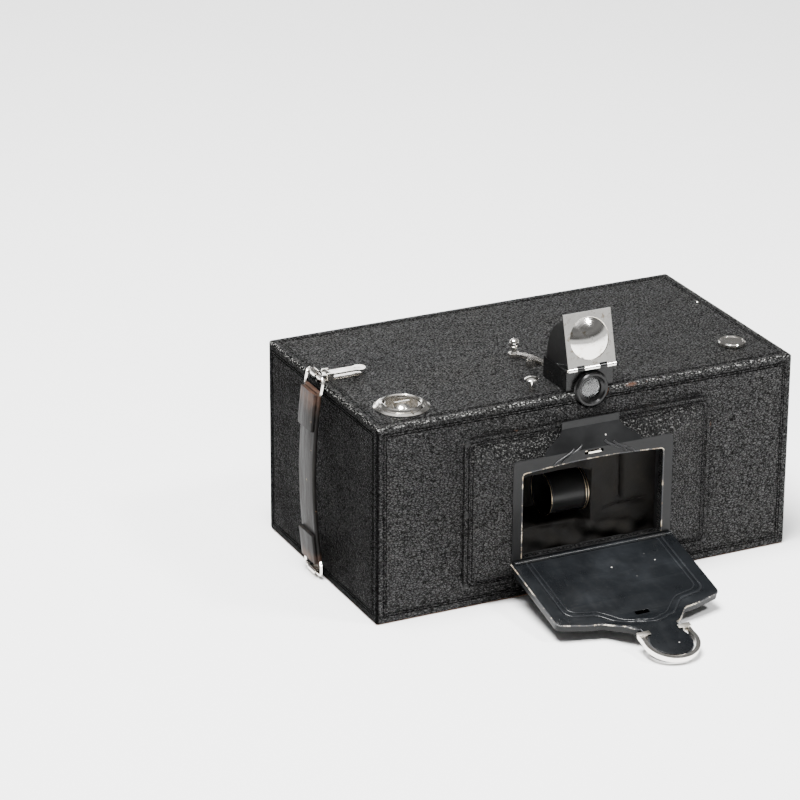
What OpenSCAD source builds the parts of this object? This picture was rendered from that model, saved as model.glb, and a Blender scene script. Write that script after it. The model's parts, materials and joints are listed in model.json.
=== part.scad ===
// Swing-lens panoramic box camera for roll film.
// Frame: origin at the centre of the underside, +X right, +Y towards the back, +Z up.
// The lens swings about a vertical axis near the front; the film lies on an arc behind it.
// The rest position has the drop front open, the finder hood raised and the lens parked left.

/* [Body] */
// Overall width of the leather-covered body
body_w = 267; // [266:0.5:268]
// Overall depth of the leather-covered body
body_d = 149; // [148.5:0.5:150]
// Overall height of the leather-covered body
body_h = 120.5; // [120:0.25:121]
// Thickness of the leather covering
leather_t = 0.8; // [0.6:0.1:1]
// Thickness of the wooden boards
wood_t = 5; // [4.8:0.1:5.2]
// Thickness of the wooden loading lid
lid_t = 4.4; // [4:0.1:4.6]

/* [Front] */
// Half width of the raised front panel
panel_half_w = 80; // [78:0.5:82]
// Height of the raised panel's lower edge
panel_low_z = 10.5; // [9:0.5:12]
// Height of the raised panel's upper edge
panel_high_z = 105; // [104:0.5:106]
// Thickness of the panel's flat border
panel_border_t = 1.2; // [1:0.1:1.5]
// How far the panel's middle stands in front of the body
panel_proud = 6.2; // [6:0.1:6.4]
// Half width of the metal door frame
frame_half_w = 51.5; // [51.5:0.5:54]
// Height of the door frame's shoulders
frame_shoulder_z = 88; // [87:0.5:88.5]
// Half width of the lens opening
opening_half_w = 45.5; // [44:0.5:46]
// Height of the lens opening's lower edge
opening_low_z = 27.5; // [27:0.5:29]
// Height of the lens opening's upper edge at its corners
opening_high_z = 80; // [78:0.5:81]

/* [Drop front] */
// How far the open drop front hangs below level, in degrees
door_tilt = 13.5; // [12:0.5:13.5]
// Half width of the drop front
door_half_w = 52; // [51:0.5:52.5]
// Length of the drop front to its shoulders
door_len = 58; // [57:0.5:59]
// Depth of the drop front's pressed shell
door_depth = 5; // [4:0.5:5]
// Radius of the tongue's round end, which covers the finder lens
tongue_r = 12.5; // [12:0.25:12.7]

/* [Lens] */
// Height of the lens axis
lens_z = 52.5; // [52:0.25:53]
// Distance of the lens pivot behind the body's front face
pivot_back = 20; // [19.5:0.5:20.5]
// Outer radius of the lens barrel
barrel_r = 12.7; // [12.2:0.1:12.8]
// Length of the barrel in front of the pivot
barrel_front = 19; // [18:0.5:20]
// Distance from the pivot to the funnel's slit
funnel_reach = 90; // [80:1:91]
// Radius of the film's arc
film_r = 121; // [120:0.25:121]
// Half angle of the film's arc, in degrees
film_half_angle = 71; // [69:0.5:71]

/* [Finder] */
// Distance of the finder's centre to the right of the lens axis
finder_x = 1.5; // [0:0.5:2]
// Width of the finder
finder_w = 30; // [29:0.5:30]
// Height of the finder's rim above the body
finder_rim = 12.5; // [12:0.25:13]
// Length of the finder's lid
finder_lid_len = 32.2; // [31:0.2:33]
// Angle of the raised lid from its closed position, in degrees
finder_open = 75; // [60:1:80]

/* [Fittings] */
// Distance of the take-up spool to the left of the middle
winder_x = -106.7; // [-107:0.1:-106]
// Distance of the supply spool to the right of the middle
supply_x = 109; // [108.5:0.1:109.5]
// Radius of the winder's escutcheon
escutcheon_r = 16.1; // [15.5:0.1:16.5]
// Width of the leather strap
strap_w = 20; // [18:0.5:21]
// Height of the strap's middle loop above the end board
strap_gap = 4.8; // [4.4:0.1:5.2]

/* [Hidden] */
fine = 64;
tiny = 0.01;
running = 0.06;
play = 0.3;
half_w = body_w / 2;
half_d = body_d / 2;
front_y = -half_d;
wood_half_w = half_w - leather_t;
wood_half_d = half_d - leather_t;
wood_top = body_h - leather_t;
inner_half_w = wood_half_w - wood_t;
inner_half_d = wood_half_d - wood_t;
inner_top = wood_top - wood_t;
pivot_y = front_y + pivot_back;

// Front panel and door frame
border_y = front_y - panel_border_t;
panel_y = front_y - panel_proud;
frame_t = 0.8;
frame_y = panel_y - frame_t;
frame_low_z = 23.5;
slope_foot_z = 100.5;
neck_half_w = 18.5;
neck_root_half_w = 31;
catch_z = 86;
slot_half_w = 6;
slot_half_h = 1.2;

// Drop front
hinge_r = 1.5;
pin_r = 0.8;
hinge_y = frame_y - hinge_r - 0.1;
hinge_z = 25.5;
sheet_t = 0.8;
door_root_s = 2.6;
shoulder_half_w = 29;
neck_s = 79;
neck_half_s = 11.2;
tongue_s = 94;
step_start_s = 63;
step_end_s = 76;
step_rise = 4.8;
lug_s = 85;
lug_w = 2.6;
lug_n = 3.8;
loop_in_r = 13.9;
loop_out_r = 16.4;
loop_t = 3;

// Lens
funnel_neck_r = 10.5;
funnel_half_h = 35;
cell_x = 4;
carrier_x = 7;
carrier_t = 3.5;
post_r = 3;
arm_in_z = 20;
arm_t = 3;

// Decks inside the body
plate_low = 100;
plate_top = 102;
crank_z = 95;
crank_t = 2;
crank_len = 11;

// Finder
finder_front = front_y + 3.3;
finder_depth = 28;
finder_top = body_h + finder_rim;
finder_floor = plate_top;
finder_wall = 0.8;
finder_mid_y = finder_front + finder_depth / 2;
bezel_z = body_h + 0.5;
bezel_r = 11;
hood_hinge_y = finder_front - 1.8;
hood_hinge_z = finder_top + 1;
wing_t = 0.6;
top_lens_drop = 3.4;
wing_x = finder_w / 2 - finder_wall - 0.4 - wing_t;
wing_r = 28.2;

// Spools
winder_y = -50.4;
supply_y = -46.5;
spool_low = 7.2;
spool_high = 99;
flange_r = 12.5;
core_r = 5;
bore_r = 3.1;
key_r = 2.5;
key_dish_r = 10.3;

// Tension lever and release button
lever_y = -37;
lever_len = 30.7;
lever_angle = 120.3;
lever_z = body_h + 0.7;
lever_t = 2;
button_x = -30.5;
button_y = -61;
button_z = body_h + 6.2;
latch_x = -20;
latch_z = 95.4;

// Strap and its clip
strap_y = 5;
strap_t = 3;
strap_low_z = 9;
strap_high_z = 116.5;
strap_mid_x = -half_w - 2.7;
ring_wire_r = 1;
ring_half_y = 11;
top_bar = [-half_w - 0.7, strap_y, body_h + 4.5];
low_bar = [strap_mid_x, strap_y, 2.2];
clip_pin_x = -half_w + 6.5;
clip_pin_z = body_h + 3.2;
clip_half_w = 3;
clip_end_x = -half_w + 30;

// Red window in the back
ring_len = 5.6;

// Loading lid
lid_axis_x = inner_half_w - 1.6;
lid_axis_z = 1.3;
knuckle_r = 1.2;
lid_knuckles = [-28, 12, 52];

BLACK = [0.05, 0.05, 0.05];
LEATHER = [0.09, 0.09, 0.09];
NICKEL = [0.82, 0.82, 0.8];
WOOD = [0.45, 0.28, 0.14];
GLASS = [0.75, 0.82, 0.85];
BRASS = [0.72, 0.58, 0.3];

// An arc of points about (x, y), from angle a to angle b.
function arc(x, y, r, a, b, n) =
    [for (i = [0 : n]) [x + r * cos(a + (b - a) * i / n), y + r * sin(a + (b - a) * i / n)]];

// The right half of a symmetric outline, closed by its mirror image.
function mirrored(half) = concat(half, [for (i = [len(half) - 1 : -1 : 0]) [-half[i][0], half[i][1]]]);

// An S-shaped blend from a at t = 0 to b at t = 1.
function ogee(a, b, t) = a + (b - a) * (3 * t * t - 2 * t * t * t);

// Points of a helix about Z, from height z0 to z1.
function helix(r, z0, z1, turns, per_turn) =
    [for (i = [0 : turns * per_turn])
        [r * cos(360 * i / per_turn), r * sin(360 * i / per_turn),
            z0 + (z1 - z0) * i / (turns * per_turn)]];

function unit(v) = v / norm(v);
function along(p, i) = unit(p[min(i + 1, len(p) - 1)] - p[max(i - 1, 0)]);
function side_of(t) = unit(cross(t, abs(t[2]) > 0.9 ? [1, 0, 0] : [0, 0, 1]));

// A round wire of radius r swept along the points p.
module wire(p, r, sides = 8) {
    rings = [for (i = [0 : len(p) - 1])
        let (t = along(p, i), u = side_of(t), v = cross(t, u))
        [for (k = [0 : sides - 1])
            p[i] + r * cos(360 * k / sides) * u + r * sin(360 * k / sides) * v]];
    n = len(p);
    polyhedron(
        points = [for (ring = rings) for (q = ring) q],
        faces = concat(
            [for (i = [0 : n - 2]) for (k = [0 : sides - 1])
                [i * sides + k, i * sides + (k + 1) % sides, (i + 1) * sides + (k + 1) % sides]],
            [for (i = [0 : n - 2]) for (k = [0 : sides - 1])
                [i * sides + k, (i + 1) * sides + (k + 1) % sides, (i + 1) * sides + k]],
            [[for (k = [sides - 1 : -1 : 0]) k]],
            [[for (k = [0 : sides - 1]) (n - 1) * sides + k]]));
}

module box_between(low, high) {
    translate(low)
        cube(high - low);
}

module rod(at, r, length, direction = [0, 0, 1]) {
    translate(at)
        rotate([direction[1] == 0 ? 0 : -90 * direction[1], direction[0] == 0 ? 0 : 90 * direction[0], 0])
            cylinder(r = r, h = length, $fn = fine);
}

module rounded_rect(low, high, r) {
    polygon(concat(
        arc(high[0] - r, high[1] - r, r, 0, 90, 8),
        arc(low[0] + r, high[1] - r, r, 90, 180, 8),
        arc(low[0] + r, low[1] + r, r, 180, 270, 8),
        arc(high[0] - r, low[1] + r, r, 270, 360, 8)));
}

// A vertical outline in X and Z, given thickness from y0 (front) to y1 (back).
module upright(y0, y1) {
    translate([0, y1, 0])
        rotate([90, 0, 0])
            linear_extrude(y1 - y0)
                children();
}

// ---- Shared cut-outs ----

// Everything that passes through the top board and its leather.
module top_cutters() {
    box_between(
        [finder_x - finder_w / 2 - 0.1, finder_front - 0.1, finder_floor],
        [finder_x + finder_w / 2 + 0.1, finder_front + finder_depth + 0.1, body_h + 1]);
    rod([finder_x, finder_front + 1, bezel_z], bezel_r + play, 10, [0, -1, 0]);
    rod([winder_x, winder_y, inner_top - 1], 11.9, 10);
    rod([supply_x, supply_y, inner_top - 1], key_r + running, 10);
    rod([0, lever_y, inner_top - 1], key_r + running, 10);
    rod([button_x, button_y, inner_top - 1], 1.4 + running, 10);
}

module screw_places() {
    for (side = [-1, 1])
        for (z = [14, 58, 101.5])
            translate([side * 77.6, border_y, z])
                children();
}

module screw_cutters() {
    screw_places()
        rod([0, -1, 0], 0.95, 7, [0, 1, 0]);
}

// ---- Wooden body ----

module top_board() {
    color(WOOD)
        difference() {
            box_between([-wood_half_w, -wood_half_d, inner_top], [wood_half_w, wood_half_d, wood_top]);
            top_cutters();
        }
}

module front_board() {
    color(WOOD)
        difference() {
            box_between([-wood_half_w, -wood_half_d, 0], [wood_half_w, -inner_half_d, inner_top]);
            box_between([-opening_half_w - 2, -half_d, 24], [opening_half_w + 2, 0, 83.5]);
            top_cutters();
            screw_cutters();
        }
}

module back_board() {
    color(WOOD)
        difference() {
            box_between([-wood_half_w, inner_half_d, 0], [wood_half_w, wood_half_d, inner_top]);
            rod([0, inner_half_d - 1, lens_z], 6, 10, [0, 1, 0]);
        }
}

module end_board(side) {
    color(WOOD)
        mirror([side < 0 ? 1 : 0, 0, 0])
            box_between([inner_half_w, -inner_half_d, 0], [wood_half_w, inner_half_d, inner_top]);
}

module leather_covering() {
    color(LEATHER)
        difference() {
            box_between([-half_w, -half_d, 0], [half_w, half_d, body_h]);
            box_between([-wood_half_w, -wood_half_d, -1], [wood_half_w, wood_half_d, wood_top]);
            box_between([-opening_half_w - 2, -half_d - 1, 24], [opening_half_w + 2, 0, 83.5]);
            top_cutters();
            screw_cutters();
            rod([0, inner_half_d - 1, lens_z], 6, 10, [0, 1, 0]);
        }
}

module loading_lid() {
    color(LEATHER)
        difference() {
            union() {
                box_between([-inner_half_w + play, -inner_half_d + play, 0],
                    [lid_axis_x, inner_half_d - play, lid_t]);
                rod([lid_axis_x, -inner_half_d + play, lid_axis_z], knuckle_r,
                    2 * (inner_half_d - play), [0, 1, 0]);
            }
            for (y = lid_knuckles)
                box_between([lid_axis_x - 2, y - 8.2, -1], [inner_half_w, y + 8.2, lid_t + 1]);
            rod([lid_axis_x, -half_d, lid_axis_z], pin_r, body_d, [0, 1, 0]);
        }
}

// Body-side knuckles, leaves and the long pin of the loading lid's hinge.
module lid_hinge() {
    color(NICKEL) {
        rod([lid_axis_x, -inner_half_d, lid_axis_z], pin_r - running, 2 * inner_half_d, [0, 1, 0]);
        for (y = lid_knuckles) {
            rod([lid_axis_x, y - 8, lid_axis_z], knuckle_r, 16, [0, 1, 0]);
            box_between([lid_axis_x, y - 8, lid_axis_z - 0.2], [inner_half_w, y + 8, lid_axis_z + 0.6]);
            box_between([inner_half_w - 0.6, y - 8, lid_axis_z - 0.2], [inner_half_w, y + 8, 14]);
        }
    }
}

module lid_catch_spring() {
    color(NICKEL) {
        box_between([-inner_half_w, -30, 5.2], [-inner_half_w + 0.6, -14, 20]);
        rod([-inner_half_w + 0.6, -30, 6.4], 0.6, 16, [0, 1, 0]);
    }
}

module red_window() {
    color([0.5, 0.05, 0.04])
        rod([0, half_d - ring_len - 0.6, lens_z], 5.4, 0.6, [0, 1, 0]);
}

module window_ring() {
    color(NICKEL)
        translate([0, half_d, lens_z])
            rotate([-90, 0, 0])
                rotate_extrude($fn = fine)
                    polygon([[4.4, -ring_len], [5.9, -ring_len], [5.9, 0.05], [7.6, 0.05], [7.2, 0.9], [4.4, 0.6]]);
}

module top_pin() {
    color(NICKEL)
        translate([125.7, 22.7, body_h])
            rotate_extrude($fn = 32)
                polygon(concat([[0, 0]], arc(0, -0.6, 1.2, 30, 90, 6)));
}

// ---- Front panel, frame and catch ----

module opening_outline(half, low, high, bulge) {
    polygon(concat(
        [[-half, low], [half, low], [half, high - 2]],
        arc(half - 2, high - 2, 2, 0, 90, 6),
        [for (i = [1 : 11]) let (t = i / 12)
            [(half - 2) * (1 - 2 * t), high + bulge * sin(180 * t)]],
        arc(-half + 2, high - 2, 2, 90, 180, 6)));
}

module front_panel() {
    color(LEATHER)
        difference() {
            union() {
                upright(border_y, front_y)
                    rounded_rect([-panel_half_w, panel_low_z], [panel_half_w, panel_high_z], 7);
                hull() {
                    box_between([-75.5, border_y, 15], [75.5, front_y, slope_foot_z]);
                    box_between([-frame_half_w - 1, panel_y, frame_low_z - 1],
                        [frame_half_w + 1, front_y, frame_shoulder_z]);
                }
            }
            box_between([-opening_half_w - 1, -half_d - 20, 26], [opening_half_w + 1, 0, 82.5]);
            box_between([-8, -half_d - 20, catch_z - 2.6], [8, panel_y + 3, frame_shoulder_z - 0.4]);
            rod([finder_x, finder_front + 1, bezel_z], bezel_r + play, 20, [0, -1, 0]);
            screw_cutters();
        }
}

// The pressed frame: a flat plate round the opening, then a neck that follows the panel's slope.
module door_frame() {
    steps = 14;
    color(BLACK) {
        difference() {
            union() {
                upright(frame_y, panel_y)
                    rounded_rect([-frame_half_w, frame_low_z], [frame_half_w, frame_shoulder_z], 2.5);
                for (x = [-38, 38])
                    difference() {
                        union() {
                            rod([x - 9, hinge_y, hinge_z], hinge_r, 18, [1, 0, 0]);
                            box_between([x - 9, hinge_y, hinge_z - 0.6], [x + 9, frame_y + 0.4, hinge_z + 0.2]);
                        }
                        rod([x - 10, hinge_y, hinge_z], pin_r, 20, [1, 0, 0]);
                    }
            }
            upright(frame_y - 1, panel_y + 1)
                opening_outline(opening_half_w, opening_low_z, opening_high_z, 2);
            box_between([-slot_half_w, frame_y - 1, catch_z - slot_half_h],
                [slot_half_w, panel_y + 1, catch_z + slot_half_h]);
        }
        intersection() {
            upright(frame_y - 1, front_y)
                polygon(mirrored(concat(
                    [[neck_root_half_w, frame_shoulder_z - 1]],
                    [for (i = [0 : steps])
                        [ogee(neck_root_half_w, neck_half_w, i / steps),
                            frame_shoulder_z + i / steps * (slope_foot_z - frame_shoulder_z)]],
                    [[neck_half_w, panel_high_z - 0.3]])));
            rotate([90, 0, 90])
                translate([0, 0, -frame_half_w])
                    linear_extrude(2 * frame_half_w)
                        polygon([[frame_y, frame_shoulder_z - 1], [frame_y, frame_shoulder_z],
                            [border_y - frame_t, slope_foot_z], [border_y - frame_t, panel_high_z],
                            [border_y, panel_high_z], [border_y, slope_foot_z],
                            [panel_y, frame_shoulder_z], [panel_y, frame_shoulder_z - 1]]);
        }
    }
}

module door_hinge_pin() {
    color(NICKEL)
        rod([-door_half_w + 1, hinge_y, hinge_z], pin_r - running, 2 * door_half_w - 2, [1, 0, 0]);
}

// A leaf spring behind the frame with a nose that comes out of the slot.
module door_catch() {
    color(NICKEL) {
        box_between([-5, panel_y + 1.2, catch_z - 2.4], [5, panel_y + 1.8, catch_z + 1.2]);
        box_between([-5, panel_y + 1.2, catch_z - 2.4], [5, panel_y + 3, catch_z - 1.6]);
        box_between([-4, frame_y - 0.9, catch_z - 0.6], [4, panel_y + 1.4, catch_z + 0.4]);
    }
}

module panel_screws() {
    color(BLACK)
        screw_places() {
            rod([0, 0, 0], 0.9, 5.5, [0, 1, 0]);
            rotate([90, 0, 0])
                rotate_extrude($fn = 32)
                    polygon(concat([[0, 0]], arc(0, -1.3, 2.2, 36.2, 90, 6)));
        }
}

// ---- Inside the body ----

module mechanism_plate() {
    color(WOOD)
        difference() {
            box_between([-inner_half_w, -inner_half_d, plate_low], [inner_half_w, inner_half_d, plate_top]);
            rod([0, pivot_y, plate_low - 1], post_r + running, 5);
            rod([0, lever_y, plate_low - 1], key_r + running, 5);
            rod([winder_x, winder_y, plate_low - 1], key_r + running, 5);
            rod([supply_x, supply_y, plate_low - 1], key_r + running, 5);
            rod([button_x, button_y, plate_low - 1], 1.4 + running, 5);
        }
}

// A curved guide with a picture window; the film is drawn round its back.
module film_track() {
    ends = film_half_angle + 2;
    color(BLACK) {
        difference() {
            translate([0, pivot_y, 5.2])
                rotate([0, 0, 90 - ends])
                    rotate_extrude(angle = 2 * ends, $fn = 180)
                        translate([film_r - 2, 0])
                            square([2, plate_low - 5.2]);
            translate([0, pivot_y, 10.5])
                rotate([0, 0, 90 - film_half_angle + 1])
                    rotate_extrude(angle = 2 * film_half_angle - 2, $fn = 180)
                        translate([film_r - 5, 0])
                            square([10, 84]);
        }
    }
}

// Lower brackets with the studs that the spools turn on.
module spool_brackets() {
    color(NICKEL)
        for (place = [[-1, winder_x, winder_y], [1, supply_x, supply_y]]) {
            edge = place[0] * inner_half_w;
            box_between([min(edge, place[1] - 5 * place[0]), place[2] - 6, 5.2],
                [max(edge, place[1] - 5 * place[0]), place[2] + 6, 6.4]);
            box_between([min(edge, edge - 1.2 * place[0]), place[2] - 6, 5.2],
                [max(edge, edge - 1.2 * place[0]), place[2] + 6, 22]);
            rod([place[1], place[2], 6.4], bore_r - running, 4);
        }
}

module lower_pivot_bracket() {
    color(BRASS)
        difference() {
            union() {
                box_between([-9, -inner_half_d, 5.2], [9, pivot_y + 7, 8.4]);
                box_between([-9, -inner_half_d, 5.2], [9, -inner_half_d + 2, 19.5]);
            }
            rod([0, pivot_y, 4], post_r + running, 6);
        }
}

// The leather light trap: a curtain behind the opening, with a pocket round the parked barrel.
module lens_apron() {
    skin = 1;
    color(LEATHER) {
        difference() {
            box_between([-49, -inner_half_d, 20.5], [49, -inner_half_d + skin, 86.5]);
            box_between([-40 + skin, -half_d, 36 + skin], [cell_x + 1.6, 0, 69 - skin]);
        }
        difference() {
            box_between([-40, -inner_half_d + skin, 36], [cell_x + 2.6, pivot_y + 16, 69]);
            box_between([-40 + skin, -half_d, 36 + skin], [cell_x + 1.6, pivot_y + 16 - skin, 69 - skin]);
            rod([cell_x - 2, pivot_y, lens_z], barrel_r + 0.1, 10, [1, 0, 0]);
        }
    }
}

module swing_buffers() {
    color(LEATHER)
        for (side = [-1, 1])
            rod([side * 12, pivot_y - 3.9, crank_z - 2], 1.4, plate_low - crank_z + 2);
}

module latch_bracket() {
    color(BRASS) {
        for (side = [-1, 1])
            box_between([latch_x - 2.5, button_y + side * 4 - 0.8, latch_z - 2.5],
                [latch_x + 2.5, button_y + side * 4 + 0.8, plate_low]);
        rod([latch_x, button_y - 4.8, latch_z], 0.9, 9.6, [0, 1, 0]);
    }
}

// The extension spring that drives the lens, between the lens crank and the lever crank.
module drive_spring() {
    start = [crank_len, pivot_y, crank_z - 2.4];
    finish = [10 * cos(lever_angle), lever_y + 10 * sin(lever_angle), crank_z - 2.4];
    run = norm(finish - start);
    color(NICKEL)
        translate(start)
            rotate([0, 90, atan2(finish[1] - start[1], finish[0] - start[0])])
                wire(helix(1.5, 1.8, run - 1.8, 7, 12), 0.35, 8);
}

module button_spring() {
    color(NICKEL)
        translate([button_x, button_y, 0])
            wire(helix(2.1, plate_top + 0.35, 107, 5, 12), 0.35, 8);
}

// ---- Spools and winder ----

module spool(x, y) {
    color(BLACK)
        translate([x, y, spool_low])
            difference() {
                rotate_extrude($fn = fine)
                    polygon([[0, 0], [flange_r, 0], [flange_r, 0.8], [core_r, 0.8],
                        [core_r, spool_high - spool_low - 0.8], [flange_r, spool_high - spool_low - 0.8],
                        [flange_r, spool_high - spool_low], [0, spool_high - spool_low]]);
                rod([0, 0, -1], bore_r, 6);
                rod([0, 0, spool_high - spool_low - 6], key_r + running, 7);
            }
}

module winder_escutcheon() {
    color(NICKEL)
        translate([winder_x, winder_y, body_h])
            difference() {
                rotate_extrude($fn = fine)
                    polygon([[10.7, -5.7], [11.7, -5.7], [11.7, 0], [escutcheon_r, 0], [escutcheon_r, 0.5],
                        [14.6, 1.3], [13.2, 1.5], [12.6, 2.6], [11.4, 3], [10.7, 2.6]]);
                box_between([-0.6, -escutcheon_r - 1, 0.8], [0.6, -12.6, 4]);
            }
}

// Round key with a domed hub and a finger ridge, on the spindle that turns the take-up spool.
module winding_key() {
    color(NICKEL)
        translate([winder_x, winder_y, 0]) {
            rotate_extrude($fn = fine)
                polygon(concat(
                    [[0, 93.2], [key_r, 93.2], [key_r, body_h - 5.4], [key_dish_r, body_h - 5.4],
                        [key_dish_r, body_h + 1.6], [key_dish_r - 0.9, body_h + 1.6],
                        [key_dish_r - 0.9, body_h - 3], [5.6, body_h - 3], [5.6, body_h - 0.5]],
                    arc(0, body_h - 4.5, 6.9, 35.4, 90, 8)));
            box_between([-4.6, -0.8, body_h], [4.6, 0.8, body_h + 3.2]);
        }
}

module supply_knob() {
    color(NICKEL)
        translate([supply_x, supply_y, 0])
            rotate_extrude($fn = fine)
                polygon([[0, 93.2], [key_r, 93.2], [key_r, body_h + 0.2], [7.6, body_h + 0.2],
                    [8, body_h + 0.7], [8, body_h + 2.2], [7.5, body_h + 2.8], [6.7, body_h + 2.8],
                    [6.4, body_h + 2.4], [0, body_h + 2.4]]);
}

// ---- Reflecting finder ----

module finder_housing() {
    x0 = finder_x - finder_w / 2;
    x1 = finder_x + finder_w / 2;
    y0 = finder_front;
    y1 = finder_front + finder_depth;
    color(BLACK)
        difference() {
            union() {
                box_between([x0, y0, finder_floor], [x1, y1, finder_top]);
                for (side = [-1, 1])
                    translate([finder_x + side * 7.2, 0, 0]) {
                        rod([-2.1, hood_hinge_y, hood_hinge_z], hinge_r, 4.2, [1, 0, 0]);
                        box_between([-2.1, hood_hinge_y, finder_top - 0.6], [2.1, y0 + 0.4, finder_top]);
                    }
            }
            box_between([x0 + finder_wall, y0 + finder_wall, finder_floor + finder_wall],
                [x1 - finder_wall, y1 - finder_wall, finder_top + 1]);
            rod([finder_x, y0 - 1, bezel_z], 6, 4, [0, 1, 0]);
            rod([finder_x - 12, hood_hinge_y, hood_hinge_z], pin_r, 24, [1, 0, 0]);
        }
}

module finder_bezel() {
    color(BLACK)
        translate([finder_x, finder_front, bezel_z])
            rotate([90, 0, 0])
                rotate_extrude($fn = fine)
                    polygon([[6.7, 0], [bezel_r, 0], [bezel_r, 1.8], [10.2, 2.3], [10.2, 3.4], [9.6, 4.2],
                        [8.4, 4.2], [7.6, 3.2], [6.2, 2.6], [6.2, 2], [6.7, 2]]);
}

module finder_front_lens() {
    color(GLASS)
        translate([finder_x, finder_front, bezel_z])
            rotate([90, 0, 0])
                rotate_extrude($fn = fine)
                    polygon(concat([[0, 0], [6.6, 0], [6.6, 0.8]], arc(0, -15.2, 17.3, 67.6, 90, 8)));
}

// The mirror leans back at 45 degrees, from the floor to the back wall under the top lens.
module finder_mirror() {
    t = 1.2;
    foot_z = finder_floor + finder_wall;
    back_y = finder_front + finder_depth - finder_wall;
    rise = finder_top - top_lens_drop - t - foot_z;
    color([0.8, 0.85, 0.9])
        translate([finder_x - wing_x + 0.5, 0, 0])
            rotate([90, 0, 90])
                linear_extrude(2 * wing_x - 1)
                    polygon([[back_y - rise, foot_z + t], [back_y - rise, foot_z],
                        [back_y, foot_z + rise], [back_y, foot_z + rise + t]]);
}

// A square plate with a shallow round crown, held by the front and back walls.
module finder_top_lens() {
    plate = 1.2;
    color(GLASS)
        translate([finder_x, finder_mid_y, finder_top - top_lens_drop]) {
            box_between([-wing_x + 0.5, -finder_depth / 2 + finder_wall, 0],
                [wing_x - 0.5, finder_depth / 2 - finder_wall, plate]);
            rotate_extrude($fn = fine)
                polygon(concat([[0, 0.2], [12, 0.2], [12, plate]], arc(0, -44.2, 47, 75.2, 90, 8)));
        }
}

module finder_hinge_pin() {
    color(NICKEL)
        rod([finder_x - finder_w / 2 + 0.2, hood_hinge_y, hood_hinge_z], pin_r - running, finder_w - 0.4, [1, 0, 0]);
}

// The hood is drawn closed, about its hinge, and then raised.
module raised() {
    translate([finder_x, hood_hinge_y, hood_hinge_z])
        rotate([finder_open, 0, 0])
            children();
}

module finder_lid() {
    half = finder_w / 2 + 0.2;
    color(NICKEL)
        raised()
            difference() {
                union() {
                    difference() {
                        box_between([-half, 0, 0.2], [half, finder_lid_len, 0.9]);
                        rod([0, finder_lid_len / 2 + 0.6, -1], 12.4, 4);
                        for (side = [-1, 1])
                            box_between([side * 7.2 - 2.4, -3, -3], [side * 7.2 + 2.4, 2, 3]);
                    }
                    translate([0, finder_lid_len / 2 + 0.6, 0.2])
                        rotate_extrude($fn = fine)
                            polygon(concat(
                                arc(0, -17.3, 21.6, 54.4, 90, 10),
                                arc(0, -17.3, 20.9, 90, 54.4, 10),
                                [[12.2, 0], [12.6, 0], [12.6, 0.3]]));
                    for (span = [[-half, -9.7], [-4.7, 4.7], [9.7, half]])
                        rod([span[0], 0, 0], hinge_r, span[1] - span[0], [1, 0, 0]);
                }
                rod([-20, 0, 0], pin_r, 40, [1, 0, 0]);
            }
}

// Two leaves that fold down inside the housing when the lid closes.
module finder_wings() {
    color(BLACK)
        raised()
            for (side = [-1, 1])
                translate([side * (wing_x + wing_t / 2) - wing_t / 2, 0, 0])
                    intersection() {
                        rotate([0, 90, 0])
                            cylinder(r = wing_r, h = wing_t, $fn = fine);
                        box_between([-1, 3.2, -wing_r], [2, wing_r + 1, 0.2]);
                    }
}

// ---- Drop front ----

// The door lies along -Y from its hinge, inner face up, and is then tilted.
module hung() {
    translate([0, hinge_y, hinge_z])
        rotate([door_tilt, 0, 0])
            children();
}

// Right half of the door's outline: x against distance s from the hinge.
function door_half(inset) = concat(
    [[door_half_w - inset, -door_root_s], [door_half_w - inset, -door_len + 4 + inset]],
    arc(door_half_w - 4 - inset, -door_len + 4 + inset, 4, 0, -80, 6),
    [[door_half_w - 9 - inset, -door_len - 1.6 + inset], [shoulder_half_w + 6 - inset, -door_len - 4 + inset]],
    [for (i = [1 : 12]) let (t = i / 12)
        [shoulder_half_w - inset - (shoulder_half_w - neck_half_s) * t,
            -ogee(door_len + 5, neck_s, t) + inset]],
    arc(0, -tongue_s, tongue_r - inset, acos((neck_half_s - inset) / (tongue_r - inset)), -90, 12));

// The part of the door's outline between distances s0 and s1 from the hinge.
module door_outline(inset, s0, s1) {
    intersection() {
        polygon(mirrored(door_half(inset)));
        translate([-door_half_w, -s1])
            square([2 * door_half_w, s1 - s0]);
    }
}

// A sheet with the door's outline whose lower face is at height low and upper face at height high.
module door_sheet(inset, low, high) {
    translate([0, 0, low])
        linear_extrude(high - low)
            door_outline(inset, 0, step_start_s + tiny);
    intersection() {
        translate([0, 0, low - 1])
            linear_extrude(high - low + step_rise + 2)
                door_outline(inset, step_start_s - 1, step_end_s + 1);
        rotate([90, 0, 90])
            translate([0, 0, -door_half_w])
                linear_extrude(2 * door_half_w)
                    polygon([[-step_start_s, low], [-step_start_s, high],
                        [-step_end_s, high + step_rise], [-step_end_s, low + step_rise]]);
    }
    translate([0, 0, low + step_rise])
        linear_extrude(high - low)
            door_outline(inset, step_end_s - tiny, tongue_s + tongue_r + 1);
}

// Pressed outer shell with a turned-up rim.
module front_door() {
    color(BLACK)
        hung()
            difference() {
                door_sheet(0, -door_depth, -sheet_t);
                door_sheet(sheet_t, -door_depth + sheet_t, 0);
            }
}

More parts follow.
